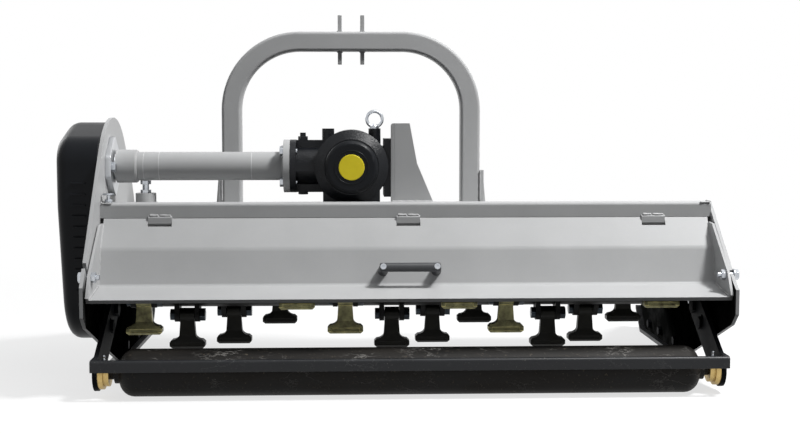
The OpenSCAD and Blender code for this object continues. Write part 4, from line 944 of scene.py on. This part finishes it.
@dataclass
class Housing(Assembly):
    """Side plates, deck, beam, hitch and drive tube, with their welds.

    Attributes:
        inward: Direction along X of each side plate's inner face.
        facing: Least part of that direction in the normal of a face that takes the painted shade.
        hitch_x: Middle of the hitch arch.
        post_x: Distance from that middle to each post of the arch.
        hinge_x: Middles of the hinge straps.
        strap_beads: Beads along the top of a strap, from its middle.
        post_beads: Beads round the foot of a post, from its middle.
        gusset_bead: Bead up the right post's outer face, from the arch's middle.
        beam_beads: Beads at the beam's right end.
        lug_x: Faces of the top-link lugs, from the arch's middle.
        lug_beads: Beads across the arch at each of those faces.
        bracket_beads: Beads at the foot of the gearbox bracket.
        rings: Beads round the drive tube and the tension boss.
        lines: Thin lines round the drive tube.
        stud_at: Foot of the capped stud on the beam's left end.
        stud_nut: Size across the flats and height of the stud's nut.
        stud: Outline of its stem and cap.
        lip_at: Left end, rear face and foot of the bracket's rear lip.
        lip_size: Width, thickness and height of that lip.
        lip_corner: Radius of the lip's upper corner.
        lip_reach: Width of the part of the lip whose rim is rounded.
        lip_rim: Width of the rounding of that rim.
        rim_angle: Least angle of an edge of that rim, in radians.
    """

    skins: tuple[Skin, ...] = (
        Skin("side_plate_left", LOOKS.paint, 1.2), Skin("side_plate_right", LOOKS.paint, 1.2),
        Skin("top_deck", LOOKS.paint, 1.0), Skin("top_link_lugs", LOOKS.paint, 1.5),
        Skin("arch_gussets", LOOKS.paint, 1.0), Skin("lower_link_brackets", LOOKS.paint, 1.5),
        Skin("gearbox_bracket", LOOKS.paint, 2.0), Skin("drive_tube", LOOKS.paint, 1.6),
        Skin("tension_boss", LOOKS.paint, 1.4), Skin("front_flaps", LOOKS.paint, 0.5),
        Skin("rear_beam", LOOKS.paint, 1.5, crown=7.5),
        Skin("hinge_straps", LOOKS.paint, 0.8, crown=5.4),
        Skin("hitch_arch", LOOKS.paint, 3.0, segments=3), Skin("skids", LOOKS.frame_black, 1.2),
        # Dull black on the skid and roller bolts: partly their paint, partly painted shade for the
        # chamber.
        Skin("skid_bolts", LOOKS.arm_black, 0.7), Skin("roller_bolts", LOOKS.arm_black, 0.7),
        Skin("shaft_bearing", LOOKS.flange, 1.8), Skin("bearing_bolts", LOOKS.zinc, 0.7),
        Skin("jack_bolt", LOOKS.zinc, 0.7), Skin("flap_rod", LOOKS.zinc, 0.6),
        Skin("lower_link_pins", LOOKS.zinc, 1.2), Skin("rotor_bearings", LOOKS.cast, 1.5))
    inward: tuple[tuple[str, int], ...] = (("side_plate_left", 1), ("side_plate_right", -1))
    facing: float = 0.7
    hitch_x: float = -134.0
    post_x: float = 306.5
    hinge_x: tuple[float, ...] = (-584.4, 0.0, 584.4)
    strap_beads: tuple[Bead, ...] = (
        Bead((-25.0, -197.3, 394.6), (-4.0, -197.3, 394.6), 3.4),
        Bead((-1.0, -197.3, 394.6), (25.0, -197.3, 394.6), 2.9))
    post_beads: tuple[Bead, ...] = (
        Bead((-25.0, 84.0, 404.0), (-25.0, 126.0, 400.4), 4.0),
        Bead((25.0, 84.0, 404.0), (25.0, 126.0, 400.4), 4.0),
        Bead((-22.0, 80.0, 404.3), (22.0, 80.0, 404.3), 4.0),
        Bead((-22.0, 130.0, 400.0), (22.0, 130.0, 400.0), 4.0))
    gusset_bead: Bead = Bead((332.0, 80.0, 412.0), (332.0, 80.0, 488.0), 2.6)
    beam_beads: tuple[Bead, ...] = (
        Bead((723.0, -191.0, 424.5), (723.0, -158.0, 424.5), 2.6),
        Bead((698.0, -194.0, 423.0), (722.0, -194.0, 423.0), 2.6))
    lug_x: tuple[float, ...] = (-34.0, -24.0, 24.0, 34.0)
    lug_beads: tuple[Bead, ...] = (
        Bead((0.0, 95.0, 844.0), (0.0, 128.0, 844.0), 2.6),
        Bead((0.0, 95.0, 794.0), (0.0, 128.0, 794.0), 2.6))
    bracket_beads: tuple[Bead, ...] = (
        Bead((-36.0, -117.0, 421.5), (62.0, -117.0, 421.5), 3.0),
        Bead((-30.0, -112.0, 421.0), (-30.0, 6.0, 410.5), 3.0))
    rings: tuple[RingBead, ...] = (
        RingBead((-301.0, -55.0, 506.0), Axis.X, 36.0, 3.4),
        RingBead((-658.5, -55.0, 506.0), Axis.X, 36.0, 3.0),
        RingBead((-638.7, -55.0, 415.6), Axis.Z, 25.5, 3.0))
    lines: tuple[RingBead, ...] = tuple(
        RingBead((x, -55.0, 506.0), Axis.X, 34.6, 0.9) for x in (-640.0, -603.0, -378.0))
    stud_at: Point = (-708.0, -176.0, 424.0)
    stud_nut: Span = (17.0, 8.0)
    stud: Outline = ((0.0, 0.0), (4.5, 0.0), (4.5, 18.0), (13.0, 18.5), (14.0, 19.5),
                     (14.0, 21.0), (12.5, 22.3), (0.0, 22.6))
    lip_at: Point = (-38.7, -117.0, 421.3)
    lip_size: Point = (9.2, 8.0, 189.7)
    lip_corner: float = 6.0
    lip_reach: float = 6.1
    lip_rim: float = 1.6
    rim_angle: float = 0.9

    def build(self) -> None:
        """Rounds and paints the plates, lays the welds and adds the fittings."""
        copies = self.dress()
        for node, inward in self.inward:
            self.paint_chamber_shade(copies[node], inward)
        self.welds()
        self.capped_stud()
        self.bracket_lip()

    def paint_chamber_shade(self, plate: Thing, inward: int) -> None:
        """Gives the inner face of a side plate its painted shade below the deck.

        Args:
            plate: Rounded side plate.
            inward: 1 if its inner face looks to +X, -1 if to -X.
        """
        painted_shade = LOOKS.chamber_shade
        shape = bmesh.new()
        shape.from_mesh(plate.data)
        bmesh.ops.bisect_plane(shape, geom=[*shape.verts, *shape.edges, *shape.faces],
                               plane_co=(0, 0, painted_shade.shade_top), plane_no=UP)
        # Inner faces below the shade top take material 1, the painted chamber shade.
        for face in shape.faces:
            face.normal_update()
            inner = face.normal.x * inward > self.facing
            if inner and face.calc_center_median().z < painted_shade.shade_top:
                face.material_index = 1
        shape.to_mesh(plate.data)
        shape.free()
        plate.data.materials.append(painted_shade.material())

    def welds(self) -> None:
        """Lays the beads that join the painted plates, and the lines on the drive tube."""
        run = [bead.placed(x) for x in self.hinge_x for bead in self.strap_beads]
        for side in SIDES:
            run += [bead.placed(self.hitch_x + side * self.post_x) for bead in self.post_beads]
            run.append(self.gusset_bead.placed(self.hitch_x, side))
            run += [bead.placed(0.0, side) for bead in self.beam_beads]
        run += [bead.placed(self.hitch_x + x) for x in self.lug_x for bead in self.lug_beads]
        beads = Welds(self.work)
        for bead in (*run, *self.bracket_beads):
            beads.lay(bead)
        for ring in self.rings:
            beads.ring(ring)
        beads.finish(LOOKS.weld, "housing", "housing_welds")
        for line in self.lines:
            beads.ring(line)
        beads.finish(LOOKS.pale_line, "housing", "tube_lines")

    def capped_stud(self) -> None:
        """Puts a nut, a stem and a wide cap on the left end of the beam."""
        shape = bmesh.new()
        foot = self.work.at(*self.stud_at)
        Turner.hexagon(shape, *self.stud_nut, foot, Axis.Z)
        Turner.spin(shape, self.stud, foot, Axis.Z)
        fitting("beam_stud", shape, LOOKS.zinc, "housing")

    def bracket_lip(self) -> None:
        """Adds the lip that the gearbox bracket's rear plate has beside the casting."""
        shape = bmesh.new()
        bmesh.ops.create_cube(shape, size=1.0)
        bmesh.ops.translate(shape, vec=(0.5, 0.5, 0.5), verts=shape.verts)
        bmesh.ops.scale(shape, vec=Vector(self.lip_size) * MM, verts=shape.verts)
        bmesh.ops.translate(shape, vec=self.work.at(*self.lip_at), verts=shape.verts)
        outer = min(v.co.x for v in shape.verts) + SAME
        upper = max(v.co.z for v in shape.verts) - SAME
        corner = [e for e in shape.edges
                  if all(v.co.x < outer and v.co.z > upper for v in e.verts)]
        Softener.round(shape, corner, self.lip_corner, 5)
        inner = outer + self.lip_reach * MM
        rim = [e for e in shape.edges if all(v.co.x < inner for v in e.verts)
               and e.calc_face_angle(0.0) > self.rim_angle]
        Softener.round(shape, rim, self.lip_rim, 3)
        fitting("bracket_lip", shape, LOOKS.paint, "housing")


@dataclass
class Gearbox(Assembly):
    """Right-angle gearbox with its cover, eyebolt, shafts and guard.

    Attributes:
        face: Middle of the rear cover's face.
        ring_r: Radius of the raised ring round the yellow disc.
        ring: Outline of that ring, from its radius and the cover's face.
        ring_steps: Number of faces along the ring.
    """

    skins: tuple[Skin, ...] = (
        Skin("gearbox_housing", LOOKS.cast, 2.5),
        Skin("gearbox_rear_cover", LOOKS.cover, 3.0, segments=4),
        Skin("oil_level_disc", LOOKS.disc, 0.4), Skin("gearbox_plugs", LOOKS.cast, 0.8),
        Skin("eyebolt", LOOKS.zinc, 0.6), Skin("gearbox_bolts", LOOKS.zinc, 0.8),
        Skin("pto_guard", LOOKS.guard, 0.8), Skin("gearbox_bearings", LOOKS.steel, 0.5),
        Skin("output_shaft", LOOKS.steel, 0.5), Skin("pinion_gear", LOOKS.steel, 0.5),
        Skin("input_shaft", LOOKS.steel, 0.5), Skin("crown_gear", LOOKS.steel, 0.5))
    face: Point = (-134.0, -164.0, 506.0)
    ring_r: float = 40.0
    ring: Outline = ((-1.6, 0.2), (-1.2, -1.0), (0.0, -1.4), (1.2, -1.0), (1.6, 0.2), (-1.6, 0.2))
    ring_steps: int = 72

    def build(self) -> None:
        """Dresses the casting, its fittings and the shafts."""
        self.dress()
        self.disc_ring()

    def disc_ring(self) -> None:
        """Raises a low ring round the yellow disc."""
        shape = bmesh.new()
        outline = tuple((self.ring_r + r, h) for r, h in self.ring)
        Turner.spin(shape, outline, self.work.at(*self.face), Axis.Y, self.ring_steps)
        fitting("disc_ring", shape, LOOKS.cover, "housing", crease=0.0)


@dataclass
class BeltDrive(Assembly):
    """Pulleys, belts and their cover."""

    skins: tuple[Skin, ...] = (
        Skin("belt_cover", LOOKS.cover, 0.8, angle=40.0), Skin("drive_belts", LOOKS.belt, 0.6),
        Skin("drive_pulley", LOOKS.steel, 0.5), Skin("rotor_pulley", LOOKS.steel, 0.5))


@dataclass
class Tailgate(Assembly):
    """Folded rear panel with its end plates, handle and bolts.

    Attributes:
        end_x: Inner face of each end plate.
        seam: Depth and height of each corner of the seam between panel and end plate.
        seam_r: Radius of the bead along that seam.
    """

    skins: tuple[Skin, ...] = (
        Skin("tailgate_panel", LOOKS.paint, 0.8, fold=6.0),
        Skin("tailgate_ends", LOOKS.paint, 1.2), Skin("handle", LOOKS.handle, 1.0),
        Skin("hinge_pins", LOOKS.zinc, 0.4), Skin("handle_screws", LOOKS.zinc, 0.5),
        Skin("gate_bolts", LOOKS.zinc, 0.8))
    end_x: float = 715.6
    seam: Outline = ((-206.0, 375.0), (-249.0, 321.0), (-277.0, 239.5), (-390.0, 223.5))
    seam_r: float = 2.2

    def build(self) -> None:
        """Dresses the panel and its fittings and welds its end plates on."""
        self.dress()
        beads = Welds(self.work)
        for side in SIDES:
            corners = [(side * self.end_x, *corner) for corner in self.seam]
            for start, end in zip(corners, corners[1:]):
                beads.lay(Bead(start, end, self.seam_r))
        beads.finish(LOOKS.weld, "tailgate", "tailgate_welds")


@dataclass
class Rotor(Assembly):
    """Rotor tube with its lugs, bolts and swinging hammers.

    Attributes:
        hammer: How the first row of hammers is rounded and finished.
        rows: Number of rows of hammers.
        shaded_rows: Rows of hammers in a darker copy of the hammer finish, painted shade under the
            rotor.
    """

    skins: tuple[Skin, ...] = (
        Skin("rotor_tube", LOOKS.rotor_black, 1.5), Skin("rotor_lugs", LOOKS.rotor_black, 1.2),
        Skin("hammer_bolts", LOOKS.dark_zinc, 1.6, segments=3))
    hammer: Skin = Skin("hammers_row_1", LOOKS.hammer, 2.2, segments=3, angle=20.0)
    rows: int = 8
    shaded_rows: tuple[int, ...] = (2, 3, 4)

    def build(self) -> None:
        """Dresses the tube, the lugs and every row of hammers."""
        self.dress()
        for row in range(1, self.rows + 1):
            # Rows under the rotor take the darker copy, which is painted shade.
            finish = LOOKS.hammer_shaded if row in self.shaded_rows else LOOKS.hammer
            self.soft.copy(replace(self.hammer, node=f"hammers_row_{row}", finish=finish))


@dataclass
class Roller(Assembly):
    """Rear roller with its arms, cross bar and bearing housings.

    Attributes:
        nipple_at: Distance from the middle, depth and height of each grease nipple's foot.
        nipple_nut: Size across the flats and height of the nipple's hexagon.
        nipple: Outline of its stem and head.
        nipple_steps: Number of faces round the stem.
    """

    skins: tuple[Skin, ...] = (
        Skin("roller_arms", LOOKS.arm_black, 1.2),
        Skin("cross_bar", LOOKS.frame_black, 1.0, crown=7.0),
        Skin("roller_bearings", LOOKS.brass, 1.5), Skin("roller_drum", LOOKS.drum_black, 1.0))
    nipple_at: Point = (690.0, -360.0, 73.6)
    nipple_nut: Span = (11.0, 8.0)
    nipple: Outline = ((0.0, 0.0), (3.6, 0.0), (3.6, 11.0), (2.6, 13.0), (3.3, 15.5),
                       (3.3, 17.5), (2.0, 20.0), (0.0, 20.4))
    nipple_steps: int = 20

    def build(self) -> None:
        """Dresses the roller's pieces and adds the grease nipples."""
        self.dress()
        self.nipples()

    def nipples(self) -> None:
        """Puts a grease nipple on the flat top of each bearing housing."""
        shape = bmesh.new()
        for side in SIDES:
            foot = self.work.at(side * self.nipple_at[0], *self.nipple_at[1:])
            Turner.hexagon(shape, *self.nipple_nut, foot, Axis.Z)
            Turner.spin(shape, self.nipple, foot, Axis.Z, self.nipple_steps)
        fitting("grease_nipples", shape, LOOKS.zinc, "roller_frame")


@dataclass(frozen=True)
class Lamp:
    """A soft square lamp.

    Attributes:
        name: Name of the lamp.
        place: Its place in metres.
        size: Its side in metres.
        watts: Its power.
    """

    name: str
    place: Point
    size: float
    watts: float


@dataclass
class Studio:
    """White studio with a pale floor, soft lamps and the camera, in metres and degrees.

    Attributes:
        work: The drawing's frame.
        floor_reach: Half of the floor's side.
        floor_drop: Depth of the floor below the mower's lowest point.
        floor_tone: Colour of the floor as it is seen.
        floor_shade: Share of that colour that is left in the floor's clouds.
        floor_bounce: Colour of the light that the floor gives back.
        floor_glow: Share of plain white in the floor beside the mower.
        glow_fade: Distances from the middle between which that share grows to 1.
        sky_tone: Colour of the sky's light.
        sky: Strength of the sky's light at the horizon and overhead.
        sky_fade: Heights of the direction between which it grows.
        lamps: The lamps.
        aim: Point that the lamps look at.
        lens_mm: Focal length of the camera, in millimetres.
        sensor_mm: Width of its sensor, in millimetres.
        reach: Greatest distance that it sees.
        eye: Place of the camera, in millimetres of the drawing.
        yaw: Turn of the camera to the right.
        pitch: Tilt of the camera downwards.
    """

    work: WorkFrame
    floor_reach: float = 14.0
    floor_drop: float = 0.0005
    floor_tone: Colour = (0.88, 0.88, 0.88)
    floor_shade: float = 0.985
    floor_bounce: Colour = (0.06, 0.06, 0.06)
    floor_glow: float = 0.7
    glow_fade: Span = (1.1, 2.6)
    sky_tone: Colour = (0.95, 0.975, 1.0)
    sky: Span = (0.01, 0.34)
    sky_fade: Span = (0.0, 0.9)
    lamps: tuple[Lamp, ...] = (
        Lamp("key_lamp", (2.1, -1.1, 3.75), 0.7, 222.0),
        Lamp("overhead_lamp", (0.7, -0.7, 3.8), 2.0, 30.0),
        Lamp("left_lamp", (-3.0, -2.6, 1.9), 2.0, 1.0),
        Lamp("front_lamp", (-3.4, 2.5, 2.3), 2.4, 62.0))
    aim: Point = (0.0, 0.0, 0.35)
    lens_mm: float = 58.5
    sensor_mm: float = 36.0
    reach: float = 60.0
    eye: Point = (-138.0, -3266.0, 624.0)
    yaw: float = 2.21
    pitch: float = 4.36

    def build(self) -> None:
        """Makes the camera, the floor, the world and the lamps."""
        self.camera()
        self.floor()
        self.world()
        for lamp in self.lamps:
            self.hang(lamp)
        bpy.context.scene.view_settings.view_transform = "Standard"

    @staticmethod
    def point(thing: Thing, place: Vector, look: Vector) -> None:
        """Puts the camera or a lamp in its place.

        Args:
            thing: The camera or the lamp.
            place: Its place in metres.
            look: Direction that it looks in.
        """
        thing.location = place
        thing.rotation_mode = "QUATERNION"
        thing.rotation_quaternion = look.to_track_quat("-Z", "Y")

    def camera(self) -> None:
        """Puts the camera at the photograph's place."""
        data = bpy.data.cameras.new("rear_camera")
        data.lens = self.lens_mm
        data.sensor_width = self.sensor_mm
        data.sensor_fit = "HORIZONTAL"
        data.clip_end = self.reach
        camera = in_scene("rear_camera", data)
        yaw, pitch = math.radians(self.yaw), math.radians(self.pitch)
        level = math.cos(pitch)
        look = Vector((math.sin(yaw) * level, math.cos(yaw) * level, -math.sin(pitch)))
        self.point(camera, self.work.at(*self.eye), look)
        bpy.context.scene.camera = camera

    def floor(self) -> None:
        """Lays a wide floor that is white to the camera and keeps the shadow."""
        shape = bmesh.new()
        bmesh.ops.create_grid(shape, x_segments=1, y_segments=1, size=self.floor_reach)
        bmesh.ops.translate(shape, vec=(0, 0, -self.floor_drop), verts=shape.verts)
        mesh = bpy.data.meshes.new("studio_floor")
        shape.to_mesh(mesh)
        shape.free()
        nodes = NodeTree(bpy.data.materials.new("studio_floor"))
        seen = nodes.seen()
        shade = tuple(part * self.floor_shade for part in self.floor_tone)
        pale = nodes.blend(nodes.patches(FLOOR_CLOUDS), self.floor_tone, shade)
        matt = nodes.add("ShaderNodeBsdfDiffuse")
        nodes.link(nodes.blend(seen, self.floor_bounce, pale), matt.inputs["Color"])
        far = nodes.add("ShaderNodeVectorMath", operation="LENGTH")
        nodes.link(nodes.coords, far.inputs[0])
        white = nodes.spread(far.outputs["Value"], self.glow_fade, (self.floor_glow, 1.0))
        glow = nodes.add("ShaderNodeEmission")
        both = nodes.mixed(nodes.times(seen, white), matt.outputs["BSDF"],
                           glow.outputs["Emission"])
        nodes.link(both, nodes.add("ShaderNodeOutputMaterial").inputs["Surface"])
        mesh.materials.append(nodes.owner)
        in_scene("studio_floor", mesh)

    def world(self) -> None:
        """Lights the scene from a sky that is brighter overhead and white to the camera."""
        nodes = NodeTree(bpy.data.worlds.new("studio_sky"))
        sky, white = nodes.add("ShaderNodeBackground"), nodes.add("ShaderNodeBackground")
        sky.inputs["Color"].default_value = (*self.sky_tone, 1)
        white.inputs["Color"].default_value = (1, 1, 1, 1)
        split = nodes.add("ShaderNodeSeparateXYZ")
        nodes.link(nodes.places["Generated"], split.inputs["Vector"])
        strength = nodes.spread(split.outputs["Z"], self.sky_fade, self.sky)
        nodes.link(strength, sky.inputs["Strength"])
        both = nodes.mixed(nodes.seen(), sky.outputs["Background"], white.outputs["Background"])
        nodes.link(both, nodes.add("ShaderNodeOutputWorld").inputs["Surface"])
        bpy.context.scene.world = nodes.owner

    def hang(self, lamp: Lamp) -> None:
        """Hangs a lamp that points at the middle of the mower.

        Args:
            lamp: The lamp.
        """
        data = bpy.data.lights.new(lamp.name, "AREA")
        data.size = lamp.size
        data.energy = lamp.watts
        place = Vector(lamp.place)
        self.point(in_scene(lamp.name, data), place, Vector(self.aim) - place)


def main() -> None:
    """Dresses the mower and sets up the studio."""
    logging.basicConfig(level=logging.INFO, format="%(message)s")
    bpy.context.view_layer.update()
    work, soft = WorkFrame(), Softener()
    Studio(work).build()
    for assembly in (Housing, Gearbox, BeltDrive, Tailgate, Rotor, Roller):
        assembly(work, soft).build()
        LOG.info("dressed the %s", assembly.__name__)


if __name__ == "__main__":
    main()
